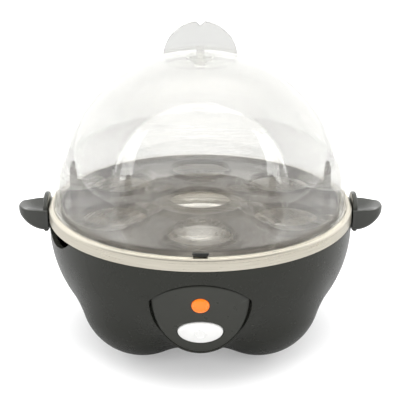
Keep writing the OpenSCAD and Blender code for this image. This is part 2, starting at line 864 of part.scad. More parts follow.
// Half ball on a straight drum that reaches down to height low
module sphere_cap(r, low) {
    translate([0, 0, low]) cylinder(r = r, h = dome_z - low);
    intersection() {
        translate([0, 0, dome_z]) sphere(r = r, $fn = 160);
        translate([0, 0, dome_z - e]) cylinder(r = r + 1, h = r + 1);
    }
}

module lid_handle() {
    color(clear) {
        difference() {
            intersection() {
                translate([0, 0, fin_z]) rotate([90, 0, 0]) cylinder(r = fin_r, h = fin_t, center = true);
                // faces that draw in towards the top
                translate([-fin_r, 0, fin_z])
                    rotate([90, 0, 90])
                        linear_extrude(2 * fin_r)
                            polygon([[-fin_t / 2, -fin_r], [fin_t / 2, -fin_r], [fin_t / 2, 2],
                                [fin_t / 2 - 1, fin_r + 1], [1 - fin_t / 2, fin_r + 1], [-fin_t / 2, 2]]);
            }
            translate([0, 0, dome_z]) sphere(r = dome_r + 0.05, $fn = 160);
            // notch across the top
            translate([0, 0, fin_z + fin_r + 0.7]) rotate([0, 45, 0])
                cube([3.9, fin_t + 2, 3.9], center = true);
        }
        translate([0, 0, dome_top - nut_under + 2]) cylinder(d = stud_d, h = nut_under);
    }
}

module lid_handle_nut() {
    top = dome_z + sqrt(dome_in * dome_in - nut_d * nut_d / 4) - 0.05;
    color(clear)
        difference() {
            union() {
                translate([0, 0, top - 2.9]) cylinder(d = nut_d, h = 2.9);
                translate([0, 0, dome_top - nut_under]) cylinder(d = 6.4, h = nut_under - 4);
            }
            translate([0, 0, dome_top - nut_under + 1.9]) cylinder(d = stud_d + 0.1, h = nut_under);
        }
}

// Small black tab that fills a slot in the front of the lid's flange, just above the band
module locator_shape(inset, reach) {
    translate([0, -dome_r - slip - inset, lid_flange_low + slip])
        rotate([90, 0, 0])
            linear_extrude(reach)
                polygon([[-locator_w / 2 + 1 + inset, inset], [locator_w / 2 - 1 - inset, inset],
                    [locator_w / 2 - inset, locator_h - inset], [-locator_w / 2 + inset, locator_h - inset]]);
}

module lid_locator() {
    color("#1d1d1c") locator_shape(0.05, lid_flange_r - dome_r);
}

// ---- egg tray -------------------------------------------------------------

egg_places = concat([[0, 0]], [for (i = [0:ring_eggs - 1]) let (q = -90 + i * 360 / ring_eggs)
    egg_ring_r * [cos(q), sin(q)]]);

module egg_tray() {
    color(smoke)
        difference() {
            union() {
                translate([0, 0, tray_z]) cylinder(r = tray_r, h = tray_t);
                ring(tray_r, tray_r - 1.6, flange_z, tray_rim_h);
                for (p = egg_places) translate([p[0], p[1], tray_z])
                    cylinder(r = egg_hole_r + collar_t, h = tray_t + collar_h);
                for (s = [0, 180]) rotate([0, 0, s]) lifting_arm();
            }
            for (p = egg_places) translate([p[0], p[1], tray_z - 1])
                cylinder(r = egg_hole_r, h = tray_t + collar_h + 2);
        }
}

module lifting_arm() {
    top = rim_z + arm_top;
    translate([arm_x, 0, 0]) {
        translate([0, -arm_w / 2, tray_z]) cube([arm_t, arm_w, top - arm_w / 2 - tray_z]);
        translate([0, 0, top - arm_w / 2]) rotate([0, 90, 0]) cylinder(d = arm_w, h = arm_t);
    }
}

base_shell();
foot_pads();
steel_band();
plate_gasket();
heating_plate();
heating_element();
thermostat();
thermostat_bracket();
thermal_fuse();
fuse_clip();
clamp_pillars();
base_screws();
handle_left();
handle_right();
handle_screws();
control_panel();
lamp_lens();
neon_lamp();
power_button();
button_spring();
switch_body();
switch_screws();
cord_gland();
cord_clamp();
clamp_screws();
terminal_block();
block_screws();
wire_mains_live();
wire_switched();
wire_fused();
wire_heater();
wire_neutral();
wires_lamp();
lid_dome();
lid_handle();
lid_handle_nut();
lid_locator();
egg_tray();
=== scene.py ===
import math
import bpy
import bmesh
import numpy as np
from mathutils import Matrix, Vector


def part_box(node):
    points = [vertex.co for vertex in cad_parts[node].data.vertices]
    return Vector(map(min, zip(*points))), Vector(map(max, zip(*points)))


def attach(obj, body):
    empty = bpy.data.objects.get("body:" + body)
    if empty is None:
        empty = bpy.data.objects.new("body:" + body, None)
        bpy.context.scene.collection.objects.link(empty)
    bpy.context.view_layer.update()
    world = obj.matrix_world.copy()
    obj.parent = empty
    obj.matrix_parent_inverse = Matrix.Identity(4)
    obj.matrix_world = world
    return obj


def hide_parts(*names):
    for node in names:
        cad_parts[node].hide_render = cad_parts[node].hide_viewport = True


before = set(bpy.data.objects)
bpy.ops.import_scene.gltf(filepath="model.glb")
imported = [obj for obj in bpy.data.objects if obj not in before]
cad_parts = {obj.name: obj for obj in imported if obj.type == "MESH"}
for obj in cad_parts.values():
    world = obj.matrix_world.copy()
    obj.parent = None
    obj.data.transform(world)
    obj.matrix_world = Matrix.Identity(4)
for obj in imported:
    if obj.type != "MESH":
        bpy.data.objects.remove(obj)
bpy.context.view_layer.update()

METRE = 1000.0


# ---- shapes ---------------------------------------------------------------

def corners(node):
    """Lowest and highest corner of a CAD node, in millimetres."""
    low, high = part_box(node)
    return low * METRE, high * METRE


def loft(rings, loop=False):
    """Points and faces of a closed skin through rings of points; a ring of one point is a tip."""
    points, starts, faces = [], [], []
    for ring in rings:
        starts.append(len(points))
        points.extend(tuple(p) for p in ring)
    pairs = [(k, k + 1) for k in range(len(rings) - 1)] + ([(len(rings) - 1, 0)] if loop else [])
    for a, b in pairs:
        size_a, size_b = len(rings[a]), len(rings[b])
        for i in range(max(size_a, size_b)):
            j = (i + 1) % max(size_a, size_b)
            quad = [starts[a] + i % size_a, starts[a] + j % size_a, starts[b] + j % size_b, starts[b] + i % size_b]
            face = [v for k, v in enumerate(quad) if v != quad[k - 1]]
            if len(face) > 2:
                faces.append(face)
    return points, faces


def rounded(outline, steps=4):
    """A closed outline of (across, up, corner radius) with its corners rounded."""
    done = []
    for k, (x, y, radius) in enumerate(outline):
        here = np.array([x, y], float)
        before = np.array(outline[k - 1][:2], float) - here
        after = np.array(outline[(k + 1) % len(outline)][:2], float) - here
        in_len, out_len = np.linalg.norm(before), np.linalg.norm(after)
        if radius <= 0 or in_len < 1e-6 or out_len < 1e-6:
            done.append((x, y))
            continue
        before, after = before / in_len, after / out_len
        half = math.acos(max(-1, min(1, float(before @ after)))) / 2
        if half > math.radians(88):
            done.append((x, y))
            continue
        reach = min(radius / math.tan(half), 0.48 * in_len, 0.48 * out_len)
        radius = reach * math.tan(half)
        middle = here + (before + after) / np.linalg.norm(before + after) * radius / math.sin(half)
        first, last = here + before * reach - middle, here + after * reach - middle
        sweep = math.pi - 2 * half
        for i in range(steps + 1):
            t = i / steps
            a, b = math.sin((1 - t) * sweep), math.sin(t * sweep)
            done.append(tuple(middle + (a * first + b * last) / math.sin(sweep)))
    return done


def turned(outline, steps=160, loop=True):
    """Skin of an outline of (radius, height) turned round the upright axis."""
    rings = []
    for radius, height in outline:
        if radius < 1e-6:
            rings.append([(0, 0, height)])
        else:
            rings.append([(radius * math.cos(q), radius * math.sin(q), height)
                          for q in (2 * math.pi * k / steps for k in range(steps))])
    return loft(rings, loop)


def grown(outline, amount):
    """A flat closed outline, anticlockwise, with every side moved outwards by amount."""
    p = np.array(outline, float)
    ahead = np.roll(p, -1, 0) - p
    ahead /= np.maximum(np.linalg.norm(ahead, axis=1, keepdims=True), 1e-9)
    behind = np.roll(ahead, 1, 0)
    side_a = np.stack([ahead[:, 1], -ahead[:, 0]], 1)
    side_b = np.stack([behind[:, 1], -behind[:, 0]], 1)
    mitre = (side_a + side_b) / np.maximum(1 + np.sum(side_a * side_b, 1, keepdims=True), 0.35)
    return [tuple(v) for v in p + amount * mitre]


def slab(outline, levels, rows=1, middle=None):
    """Skin of a flat outline carried through levels of (growth, height or a rule for it) and closed at both ends.
    rows is the number of shrinking rings that close an end, so that a curved end keeps its curve."""
    grow = outline if callable(outline) else (lambda amount: grown(outline, amount))
    if middle is None:
        middle = np.mean(np.array(grow(0.0), float), 0)

    def ring(points, height):
        return [(x, y, height(x, y) if callable(height) else height) for x, y in points]

    def lid(growth, height):
        base = np.array(grow(growth))
        return [ring([tuple(middle + (p - middle) * (rows - k) / rows) for p in base], height)
                if k < rows else ring([tuple(middle)], height) for k in range(1, rows + 1)]

    body = [ring(grow(growth), height) for growth, height in levels]
    return loft(lid(*levels[0])[::-1] + body + lid(*levels[-1]))


def edge_levels(low, high, radius, steps=3):
    """Levels of a slab from low to high with both edges rounded."""
    arc = [math.radians(90 * k / steps) for k in range(steps + 1)]
    first = [(-radius * (1 - math.sin(a)), low + radius * (1 - math.cos(a))) for a in arc]
    return first + [(g, high - (h - low)) for g, h in reversed(first)]


def placed(skin, matrix):
    points, faces = skin
    return [tuple(matrix @ Vector(p)) for p in points], faces


def joined(*skins):
    points, faces = [], []
    for more_points, more_faces in skins:
        start = len(points)
        points += more_points
        faces += [[v + start for v in face] for face in more_faces]
    return points, faces


def mesh_of(name, skin):
    points, faces = skin
    mesh = bpy.data.meshes.new(name)
    mesh.from_pydata([(x / METRE, y / METRE, z / METRE) for x, y, z in points], [], faces)
    work = bmesh.new()
    work.from_mesh(mesh)
    bmesh.ops.remove_doubles(work, verts=work.verts, dist=1e-7)
    bmesh.ops.recalc_face_normals(work, faces=work.faces)
    work.to_mesh(mesh)
    work.free()
    return mesh


def worked(mesh, *steps):
    """The mesh after each (operation, skin) is cut from it or joined to it."""
    body = bpy.data.objects.new("blank", mesh)
    bpy.context.collection.objects.link(body)
    for operation, skin in steps:
        tool = bpy.data.objects.new("tool", mesh_of("tool", skin))
        bpy.context.collection.objects.link(tool)
        change = body.modifiers.new(operation, "BOOLEAN")
        change.object, change.operation, change.solver = tool, operation, "EXACT"
        bpy.context.view_layer.update()
        result = bpy.data.meshes.new_from_object(body.evaluated_get(bpy.context.evaluated_depsgraph_get()))
        body.modifiers.clear()
        body.data = result
        bpy.data.objects.remove(tool)
    bpy.data.objects.remove(body)
    work = bmesh.new()
    work.from_mesh(result)
    bmesh.ops.remove_doubles(work, verts=work.verts, dist=2e-6)
    bmesh.ops.dissolve_degenerate(work, edges=work.edges, dist=1e-6)
    work.to_mesh(result)
    work.free()
    return result


def piece(name, body, finish, mesh, nodes, sharp=32):
    """A finished piece that rides on a body and stands for CAD nodes."""
    mesh.materials.clear()
    mesh.materials.append(finish)
    mesh.polygons.foreach_set("material_index", [0] * len(mesh.polygons))
    mesh.polygons.foreach_set("use_smooth", [True] * len(mesh.polygons))
    mesh.set_sharp_from_angle(angle=math.radians(sharp))
    made = bpy.data.objects.new(name, mesh)
    mesh.name = name
    bpy.context.collection.objects.link(made)
    even = made.modifiers.new("even_shading", "WEIGHTED_NORMAL")
    even.keep_sharp = True
    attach(made, body)
    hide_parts(*nodes)
    return made


# ---- finishes -------------------------------------------------------------

def linear(code):
    """An sRGB hex colour as linear red, green, blue, alpha."""
    parts = [int(code[k:k + 2], 16) / 255 for k in (1, 3, 5)]
    return tuple(c / 12.92 if c <= 0.04045 else ((c + 0.055) / 1.055) ** 2.4 for c in parts) + (1.0,)


def per(size):
    """Texture scale whose features are size millimetres across."""
    return METRE / size


def add(tree, kind, settings=None, out=None, **inputs):
    """Adds a node, sets and links it, and gives one of its outputs. Names use _ for a space."""
    made = tree.nodes.new("ShaderNode" + kind)
    for name, value in (settings or {}).items():
        setattr(made, name, value)
    for name, value in inputs.items():
        sockets = [s for s in made.inputs if s.enabled and s.name.replace(" ", "_") == name]
        if isinstance(value, bpy.types.NodeSocket):
            tree.links.new(value, sockets[0])
        else:
            sockets[0].default_value = value
    outputs = [s for s in made.outputs if s.enabled and out in (None, s.name)]
    return outputs[0] if outputs else made


def start(name):
    """A new material, its tree and its place in millimetre-true coordinates."""
    made = bpy.data.materials.new(name)
    made.use_nodes = True
    made.node_tree.nodes.clear()
    return made, made.node_tree, add(made.node_tree, "TexCoord", out="Object")


def close(tree, shader):
    add(tree, "OutputMaterial", Surface=shader)


COLOUR = {"data_type": "RGBA"}
LIMIT = {"clamp": True}


def moulded(name, colour, worn, rough, grain, depth, gloss=0.5, coat=0.0, coat_rough=0.1, mottle=22.0, metal=0.0,
            through=0.0, index=1.5):
    """A moulded or cast finish: cloudy colour, fine grain in relief, handled patches in the gloss, worn edges."""
    made, tree, place = start(name)
    cloud = add(tree, "TexNoise", Vector=place, Scale=per(mottle), Detail=3.0, Roughness=0.55)
    fine = add(tree, "TexNoise", Vector=place, Scale=per(grain), Detail=2.0, Roughness=0.6)
    handled = add(tree, "TexNoise", Vector=place, Scale=per(9.0), Detail=4.0, Roughness=0.7)
    edge = add(tree, "NewGeometry", out="Pointiness")
    wear = add(tree, "MapRange", LIMIT, Value=edge, From_Min=0.53, From_Max=0.62, To_Min=0.0, To_Max=0.6)
    wear = add(tree, "Math", {"operation": "MULTIPLY"}, Value=wear)
    tree.links.new(handled, wear.node.inputs[1])
    tint = [c * 0.9 for c in linear(colour)[:3]] + [1.0]
    paler = [c * 1.1 for c in linear(colour)[:3]] + [1.0]
    shade = add(tree, "Mix", COLOUR, out="Result", Factor=cloud, A=tint, B=paler)
    shade = add(tree, "Mix", COLOUR, out="Result", Factor=wear, A=shade, B=linear(worn))
    gloss_map = add(tree, "MapRange", Value=handled, From_Min=0.3, From_Max=0.7,
                    To_Min=rough * 0.88, To_Max=rough * 1.14)
    relief = add(tree, "Bump", Height=fine, Strength=1.0, Distance=depth / METRE)
    close(tree, add(tree, "BsdfPrincipled", Base_Color=shade, Roughness=gloss_map, Normal=relief, Metallic=metal,
                    Specular_IOR_Level=gloss, Coat_Weight=coat, Coat_Roughness=coat_rough,
                    Transmission_Weight=through, IOR=index))
    return made


def spun(name, colour, dull, rough, line, depth, streak=26.0, lean=0.0):
    """Metal finished on a lathe: fine lines that run round the axis, in the colour, the gloss and the relief."""
    made, tree, place = start(name)
    parts = add(tree, "SeparateXYZ", out="X", Vector=place).node.outputs
    turn = add(tree, "Math", {"operation": "ARCTAN2"}, Value=parts["Y"])
    tree.links.new(parts["X"], turn.node.inputs[1])
    out_from_axis = add(tree, "Math", {"operation": "POWER"}, Value=parts["X"])
    out_from_axis.node.inputs[1].default_value = 2.0
    across = add(tree, "Math", {"operation": "MULTIPLY_ADD"}, Value=parts["Y"])
    tree.links.new(parts["Y"], across.node.inputs[1])
    tree.links.new(out_from_axis, across.node.inputs[2])
    radius = add(tree, "Math", {"operation": "SQRT"}, Value=across)
    ring = add(tree, "CombineXYZ", X=turn, Y=parts["Z"], Z=radius)
    # one radian at the rim is about 79 mm of arc
    lines = add(tree, "Mapping", Vector=ring, Scale=(79.0 / streak, per(line), per(line)))
    brushed = add(tree, "TexNoise", Vector=lines, Scale=1.0, Detail=3.0, Roughness=0.7)
    broad = add(tree, "Mapping", Vector=ring, Scale=(79.0 / (streak * 3), per(line * 5), per(line * 5)))
    bands = add(tree, "TexNoise", Vector=broad, Scale=1.0, Detail=2.0, Roughness=0.5)
    smear = add(tree, "TexNoise", Vector=place, Scale=per(14.0), Detail=3.0, Roughness=0.6)
    lines_and_bands = add(tree, "Mix", Factor=0.4, A=brushed, B=bands)
    tone = add(tree, "MapRange", LIMIT, Value=lines_and_bands, From_Min=0.3, From_Max=0.7)
    shade = add(tree, "Mix", COLOUR, out="Result", Factor=tone, A=linear(dull), B=linear(colour))
    mixed = add(tree, "Mix", Factor=0.35, A=lines_and_bands, B=smear)
    gloss_map = add(tree, "MapRange", Value=mixed, From_Min=0.3, From_Max=0.7, To_Min=rough * 0.75, To_Max=rough * 1.3)
    relief = add(tree, "Bump", Height=brushed, Strength=1.0, Distance=depth / METRE)
    close(tree, add(tree, "BsdfPrincipled", Base_Color=shade, Metallic=1.0, Roughness=gloss_map, Normal=relief,
                    Anisotropic=lean, Tangent=add(tree, "Tangent", {"direction_type": "RADIAL", "axis": "Z"})))
    return made


def clear_moulding(name, colour, rough, flow, shadow, straight, index=1.585):
    """Transparent polycarbonate: polished faces with slow waves from the mould, faint scuffs in the gloss."""
    made, tree, place = start(name)
    wave = add(tree, "TexNoise", Vector=place, Scale=per(flow), Detail=1.0, Roughness=0.4)
    scuff = add(tree, "TexNoise", Vector=place, Scale=per(1.6), Detail=5.0, Roughness=0.75)
    gloss_map = add(tree, "MapRange", LIMIT, Value=scuff, From_Min=0.5, From_Max=0.75, To_Min=rough, To_Max=rough * 2.5)
    relief = add(tree, "Bump", Height=wave, Strength=0.6, Distance=0.03 / METRE)
    tint = add(tree, "Mix", COLOUR, out="Result", Factor=wave, A=linear(colour),
               B=[min(1.0, c * 1.02) for c in linear(colour)[:3]] + [1.0])
    skin = add(tree, "BsdfPrincipled", Base_Color=tint, Roughness=gloss_map, Normal=relief,
               Transmission_Weight=1.0, IOR=index)
    passing = add(tree, "BsdfTransparent", Color=linear(shadow))
    thin = add(tree, "BsdfTransparent", Color=tint)
    body = add(tree, "MixShader", Fac=straight, Shader=skin)
    tree.links.new(thin, body.node.inputs[2])
    whole = add(tree, "MixShader", Fac=add(tree, "LightPath", out="Is Shadow Ray"), Shader=body)
    tree.links.new(passing, whole.node.inputs[2])
    close(tree, whole)
    return made


# Polypropylene, injection moulded in a lightly spark-eroded tool: satin charcoal with a soft, broad highlight
BOWL_PP = moulded("polypropylene_moulded_charcoal", "#262722", "#44453f", 0.26, 0.5, 0.010, gloss=0.34)
# Phenolic, compression moulded in a polished tool: smooth and glossy, the hardest shine on the cooker
EAR_PHENOLIC = moulded("phenolic_polished_black", "#30312d", "#5a5a54", 0.2, 0.8, 0.004, gloss=0.5, coat=0.25,
                       coat_rough=0.08)
# ABS, moulded with a fine texture: even charcoal, a shade lighter than the bowl
PANEL_ABS = moulded("abs_moulded_charcoal", "#33342f", "#5c5d56", 0.3, 0.35, 0.006, gloss=0.45)
# ABS, self-coloured white with a gloss tool finish
BUTTON_ABS = moulded("abs_gloss_white", "#f1f1ef", "#ffffff", 0.24, 0.6, 0.003, gloss=0.5, mottle=12.0)
# ABS in black for the locating tab
TAB_ABS = moulded("abs_moulded_black", "#1b1b1a", "#3c3c3a", 0.35, 0.4, 0.006, gloss=0.4)
# Polycarbonate tinted amber, glowing with the lamp lit behind it
LENS_AMBER = moulded("polycarbonate_amber", "#f27c14", "#ff9f3a", 0.12, 0.5, 0.002, gloss=0.5, coat=0.4,
                     coat_rough=0.04, through=0.25, index=1.585)
lamp_glow = next(n for n in LENS_AMBER.node_tree.nodes if n.type == "BSDF_PRINCIPLED")
lamp_glow.inputs["Emission Color"].default_value = linear("#ff8a12")
lamp_glow.inputs["Emission Strength"].default_value = 0.34
# Natural rubber, moulded: dead matt black, dusty on its edges
PAD_RUBBER = moulded("rubber_moulded_black", "#191918", "#3a3a37", 0.8, 0.3, 0.03, gloss=0.25)
# Thermoplastic gland and strain clamp
GLAND_NYLON = moulded("nylon_black", "#161616", "#383836", 0.45, 0.4, 0.01, gloss=0.4)
# Silicone gasket, extruded and joined
GASKET = moulded("silicone_grey", "#8f8e88", "#b5b4ad", 0.6, 0.4, 0.01, gloss=0.35)
# Stainless sheet with a brushed grain that runs round the rim
BAND_STEEL = spun("stainless_brushed_round", "#e9e4d6", "#c9c2b2", 0.3, 0.28, 0.0015, lean=0.55)
# Aluminium pan, pressed and spun: bright rings that follow the lathe tool
PAN_SPUN = spun("aluminium_spun_pan", "#e6e4df", "#bdbab4", 0.27, 0.7, 0.004, streak=60.0, lean=0.4)
# Nickel-alloy sheath, rolled and annealed: warm grey with oxide clouds
SHEATH = moulded("incoloy_sheath_annealed", "#8b857b", "#b0aaa0", 0.42, 0.5, 0.008, metal=1.0, mottle=7.0)
# Zinc-plated steel: bluish bright with a slightly crystalline bloom
ZINC = moulded("steel_zinc_plated", "#b4b7bb", "#dcdee0", 0.33, 0.35, 0.004, metal=1.0, mottle=4.0)
# Cast aluminium spacer pillars
PILLAR_ALLOY = moulded("aluminium_turned", "#a5a5a3", "#d0d0ce", 0.38, 0.3, 0.004, metal=1.0, mottle=5.0)
# Steatite, pressed and fired: off-white and faintly speckled
STEATITE = moulded("steatite_fired", "#d6d1c3", "#ece8dc", 0.55, 0.3, 0.01, mottle=1.2)
# Brass fuse can, drawn and lacquered
FUSE_BRASS = moulded("brass_drawn", "#c9ab55", "#e6cf8a", 0.3, 0.4, 0.003, metal=1.0, mottle=5.0)
# Glass-filled nylon in natural cream
BLOCK_NYLON = moulded("nylon_natural", "#d8d2bf", "#efe9d8", 0.5, 0.4, 0.01, mottle=6.0)
# Nylon switch case in dark grey
SWITCH_NYLON = moulded("nylon_dark_grey", "#4b4c50", "#74757a", 0.5, 0.4, 0.01, mottle=6.0)
# Soda-lime glass of the neon lamp
NEON_GLASS = moulded("glass_neon_lamp", "#eebc94", "#f5d8c0", 0.06, 1.0, 0.001, through=0.6, index=1.52)
# Silicone-rubber insulated leads
LEAD_BROWN = moulded("silicone_lead_brown", "#5d3f28", "#86654c", 0.5, 0.5, 0.006, gloss=0.4, mottle=8.0)
LEAD_BLUE = moulded("silicone_lead_blue", "#2f5280", "#6283aa", 0.5, 0.5, 0.006, gloss=0.4, mottle=8.0)
LEAD_WHITE = moulded("silicone_lead_white", "#dcd9cf", "#f0eee6", 0.5, 0.5, 0.006, gloss=0.4, mottle=8.0)
# Polycarbonate, water clear, moulded in polished tools
LID_CLEAR = clear_moulding("polycarbonate_clear", "#fdfdfc", 0.012, 34.0, "#f8f8f7", 0.65)
# The same in the solid handle and its nut, where the thickness shows at the edges
HANDLE_CLEAR = clear_moulding("polycarbonate_clear_solid", "#f4f4f2", 0.012, 34.0, "#ececea", 0.12)
# Polycarbonate with a smoke tint
TRAY_SMOKE = clear_moulding("polycarbonate_smoke", "#a9a5a0", 0.03, 28.0, "#a9a6a1", 0.35)


# ---- bowl with four feet --------------------------------------------------

shell_high = corners("base_shell")[1]
BOWL_R = shell_high.x
RIM_Z = shell_high.z
BOWL_CURVE = np.array([(BOWL_R, RIM_Z - 5), (BOWL_R, RIM_Z - 27), (BOWL_R - 13, 14), (44, 8)], float)
BOWL_WALL = 2.5
FOOT_TURN = math.radians(48)
FOOT_BALL = (43.5, 32.5, 31.5)
SHOULDER_BALL = (38.5, 50.5, 40.0)
EYE = np.array([0.0, 0.0, 42.0])
LEDGE_R = BOWL_R - 6
LEDGE_LOW = RIM_Z - 3


def bowl_outline():
    t = np.linspace(0, 1, 49)[:, None]
    a, b, c, d = BOWL_CURVE
    side = (1 - t) ** 3 * a + 3 * (1 - t) ** 2 * t * b + 3 * (1 - t) * t * t * c + t ** 3 * d
    return np.vstack([[(0, RIM_Z + 60)], [(BOWL_R, RIM_Z + 60)], side, [(0, 8)]])


def flat_distance(r, z, outline):
    """Signed distance from points to a closed outline, negative inside."""
    best, inside = np.full(r.shape, 1e9), np.zeros(r.shape, bool)
    for (ax, az), (bx, bz) in zip(outline, np.roll(outline, -1, 0)):
        ex, ez = bx - ax, bz - az
        t = np.clip(((r - ax) * ex + (z - az) * ez) / max(ex * ex + ez * ez, 1e-12), 0, 1)
        if abs(ax) > 1e-6 or abs(bx) > 1e-6:
            best = np.minimum(best, (r - ax - t * ex) ** 2 + (z - az - t * ez) ** 2)
        crosses = ((az > z) != (bz > z)) & (r < ex * (z - az) / (ez if abs(ez) > 1e-12 else 1e-12) + ax)
        inside ^= crosses
    return np.where(inside, -1, 1) * np.sqrt(best)


GRID = 0.5
grid_r, grid_z = np.meshgrid(np.arange(0, 140, GRID), np.arange(-40, 110, GRID), indexing="ij")
bowl_grid = flat_distance(grid_r, grid_z, bowl_outline())


def bowl_distance(r, z):
    u = np.clip(r / GRID, 0, bowl_grid.shape[0] - 1.001)
    v = np.clip((z + 40) / GRID, 0, bowl_grid.shape[1] - 1.001)
    i, j = u.astype(int), v.astype(int)
    s, t = u - i, v - j
    return ((1 - s) * (1 - t) * bowl_grid[i, j] + s * (1 - t) * bowl_grid[i + 1, j]
            + (1 - s) * t * bowl_grid[i, j + 1] + s * t * bowl_grid[i + 1, j + 1])


def foot_distance(p):
    """Signed distance to the foot in the first quarter: two balls and the cone that touches both."""
    a = np.array([FOOT_BALL[0] * math.cos(FOOT_TURN), FOOT_BALL[0] * math.sin(FOOT_TURN), FOOT_BALL[1]])
    b = np.array([SHOULDER_BALL[0] * math.cos(FOOT_TURN), SHOULDER_BALL[0] * math.sin(FOOT_TURN), SHOULDER_BALL[1]])
    low, high = FOOT_BALL[2], SHOULDER_BALL[2]
    run = b - a
    length2 = run @ run
    taper = low - high
    rest = length2 - taper * taper
    from_a = p - a
    y = from_a @ run
    z = y - length2
    across = np.sum((from_a * length2 - y[:, None] * run) ** 2, 1)
    y2, z2 = y * y * length2, z * z * length2
    k = np.sign(taper) * taper * taper * across
    cone = (np.sqrt(across * rest / length2) + y * taper) / length2 - low
    result = np.where(np.sign(y) * rest * y2 < k, np.sqrt(across + y2) / length2 - low, cone)
    return np.where(np.sign(z) * rest * z2 > k, np.sqrt(across + z2) / length2 - high, result)


def shell_distance(p):
    mirrored = np.stack([np.abs(p[:, 0]), np.abs(p[:, 1]), p[:, 2]], 1)
    bowl = bowl_distance(np.hypot(p[:, 0], p[:, 1]), p[:, 2])
    foot = foot_distance(mirrored)
    soft = np.clip(3.4 - (p[:, 2] - 25) * 0.06, 1.6, 3.4)
    near = np.maximum(soft - np.abs(bowl - foot), 0) / soft
    return np.minimum(bowl, foot) - near * near * soft / 4


def shell_rows(top, rows, columns, inset):
    """Rings of the shell's surface, seen from inside the bowl, from the height of top downwards."""
    tilt = np.linspace(math.atan2(top[1] - EYE[2], top[0]), -math.pi / 2, rows + 1)[:-1]
    turn = np.arange(columns) * 2 * math.pi / columns
    tilt, turn = np.meshgrid(tilt, turn, indexing="ij")
    way = np.stack([np.cos(tilt) * np.cos(turn), np.cos(tilt) * np.sin(turn), np.sin(tilt)], -1).reshape(-1, 3)
    reach = np.full(len(way), 120.0)
    for _ in range(110):
        reach -= shell_distance(EYE + way * reach[:, None]) + inset
    points = EYE + way * reach[:, None]
    return [[tuple(q) for q in row] for row in points.reshape(rows, columns, 3)]


def circle(radius, height, count):
    return [(radius * math.cos(2 * math.pi * k / count), radius * math.sin(2 * math.pi * k / count), height)
            for k in range(count)]


ROWS, COLUMNS = ((120, 256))
outer = shell_rows((BOWL_R, RIM_Z - 0.5), ROWS, COLUMNS, 0.0)
inner = shell_rows((BOWL_R - BOWL_WALL, LEDGE_LOW), ROWS // 2, COLUMNS, BOWL_WALL)
rim = [circle(BOWL_R - 0.15, RIM_Z - 0.14, COLUMNS), circle(BOWL_R - 0.5, RIM_Z, COLUMNS)]
shell = loft([[(0, 0, 8)]] + outer[::-1] + rim + [[(0, 0, RIM_Z)]])
mouth = [circle(LEDGE_R + 0.2, LEDGE_LOW, COLUMNS), circle(LEDGE_R, LEDGE_LOW + 0.2, COLUMNS),
         circle(LEDGE_R, RIM_Z - 0.4, COLUMNS), circle(LEDGE_R + 0.4, RIM_Z, COLUMNS),
         circle(LEDGE_R + 0.4, RIM_Z + 2, COLUMNS)]
hollow = loft([[(0, 0, 8 + BOWL_WALL)]] + inner[::-1] + mouth + [[(0, 0, RIM_Z + 2)]])

# ---- control panel and the pod that carries it -------------------------------

PANEL_AT = Matrix.Translation((0, -75.4, 47.6)) @ Matrix.Rotation(math.radians(105), 4, "X")
PANEL_BEND = 95.0
PANEL_T = 2.4
SLIP = 0.15


def face(x, y=0.0):
    """Height of the panel's curved front above its middle."""
    return math.sqrt(PANEL_BEND ** 2 - x * x) - PANEL_BEND


def shield(growth=0.0, lift=0.0):
    """The panel's outline, grown: an arch on top raised by lift, a deep rounded bottom, softened corners."""
    half, rise, drop = 23.5 + growth, 10.0 + growth + lift, 31.0 + growth
    arc = (half * half + rise * rise) / (2 * rise)
    spread = math.asin(half / arc)
    top = [(arc * math.sin(a), rise - arc + arc * math.cos(a), 0)
           for a in (spread - 2 * spread * k / 40 for k in range(41))]
    soft = max(0.4, 1.6 + growth)
    top[0], top[-1] = top[0][:2] + (soft,), top[-1][:2] + (soft,)
    bottom = [(half * math.cos(a), drop * math.sin(a), 0) for a in (math.pi + math.pi * k / 56 for k in range(1, 56))]
    return rounded((top + bottom)[::-1])[::-1]


def oval(width, height, count=72):
    return [(width / 2 * math.cos(2 * math.pi * k / count), height / 2 * math.sin(2 * math.pi * k / count))
            for k in range(count)]


def sunk(depth):
    return lambda x, y: face(x, y) - depth


MIDDLE = np.array([0.0, -9.0])
pod_front = 0.6
pod = slab(shield, [(2.0, -26), (2.0, sunk(pod_front + 1.0)), (1.7, sunk(pod_front + 0.3)), (1.0, sunk(pod_front))],
           rows=10, middle=MIDDLE)
ARCH_GAP = 0.9


def pocket(growth):
    """The panel's outline with an open crescent over its arch."""
    return shield(growth, ARCH_GAP)


pod_room = slab(pocket, [(-2.0, -27), (-2.0, sunk(PANEL_T)), (SLIP, sunk(PANEL_T)), (SLIP, sunk(pod_front + 0.35)),
                         (0.5, sunk(pod_front)), (0.9, 6)], rows=10, middle=MIDDLE)
BUTTON_AT, LENS_AT = -18.5, -1.8
button_size = (21.8, 12.6)
lens_d = 8.4
shift_button = Matrix.Translation((0, BUTTON_AT, 0))
shift_lens = Matrix.Translation((0, LENS_AT, 0))


def hole(outline, dip=0.5, flare=0.45):
    """A cutter for a hole in the panel with a softly broken edge."""
    return slab(outline, [(0, -8), (0, sunk(dip)), (flare * 0.3, sunk(dip * 0.4)), (flare, sunk(0)), (flare * 2, 3)])


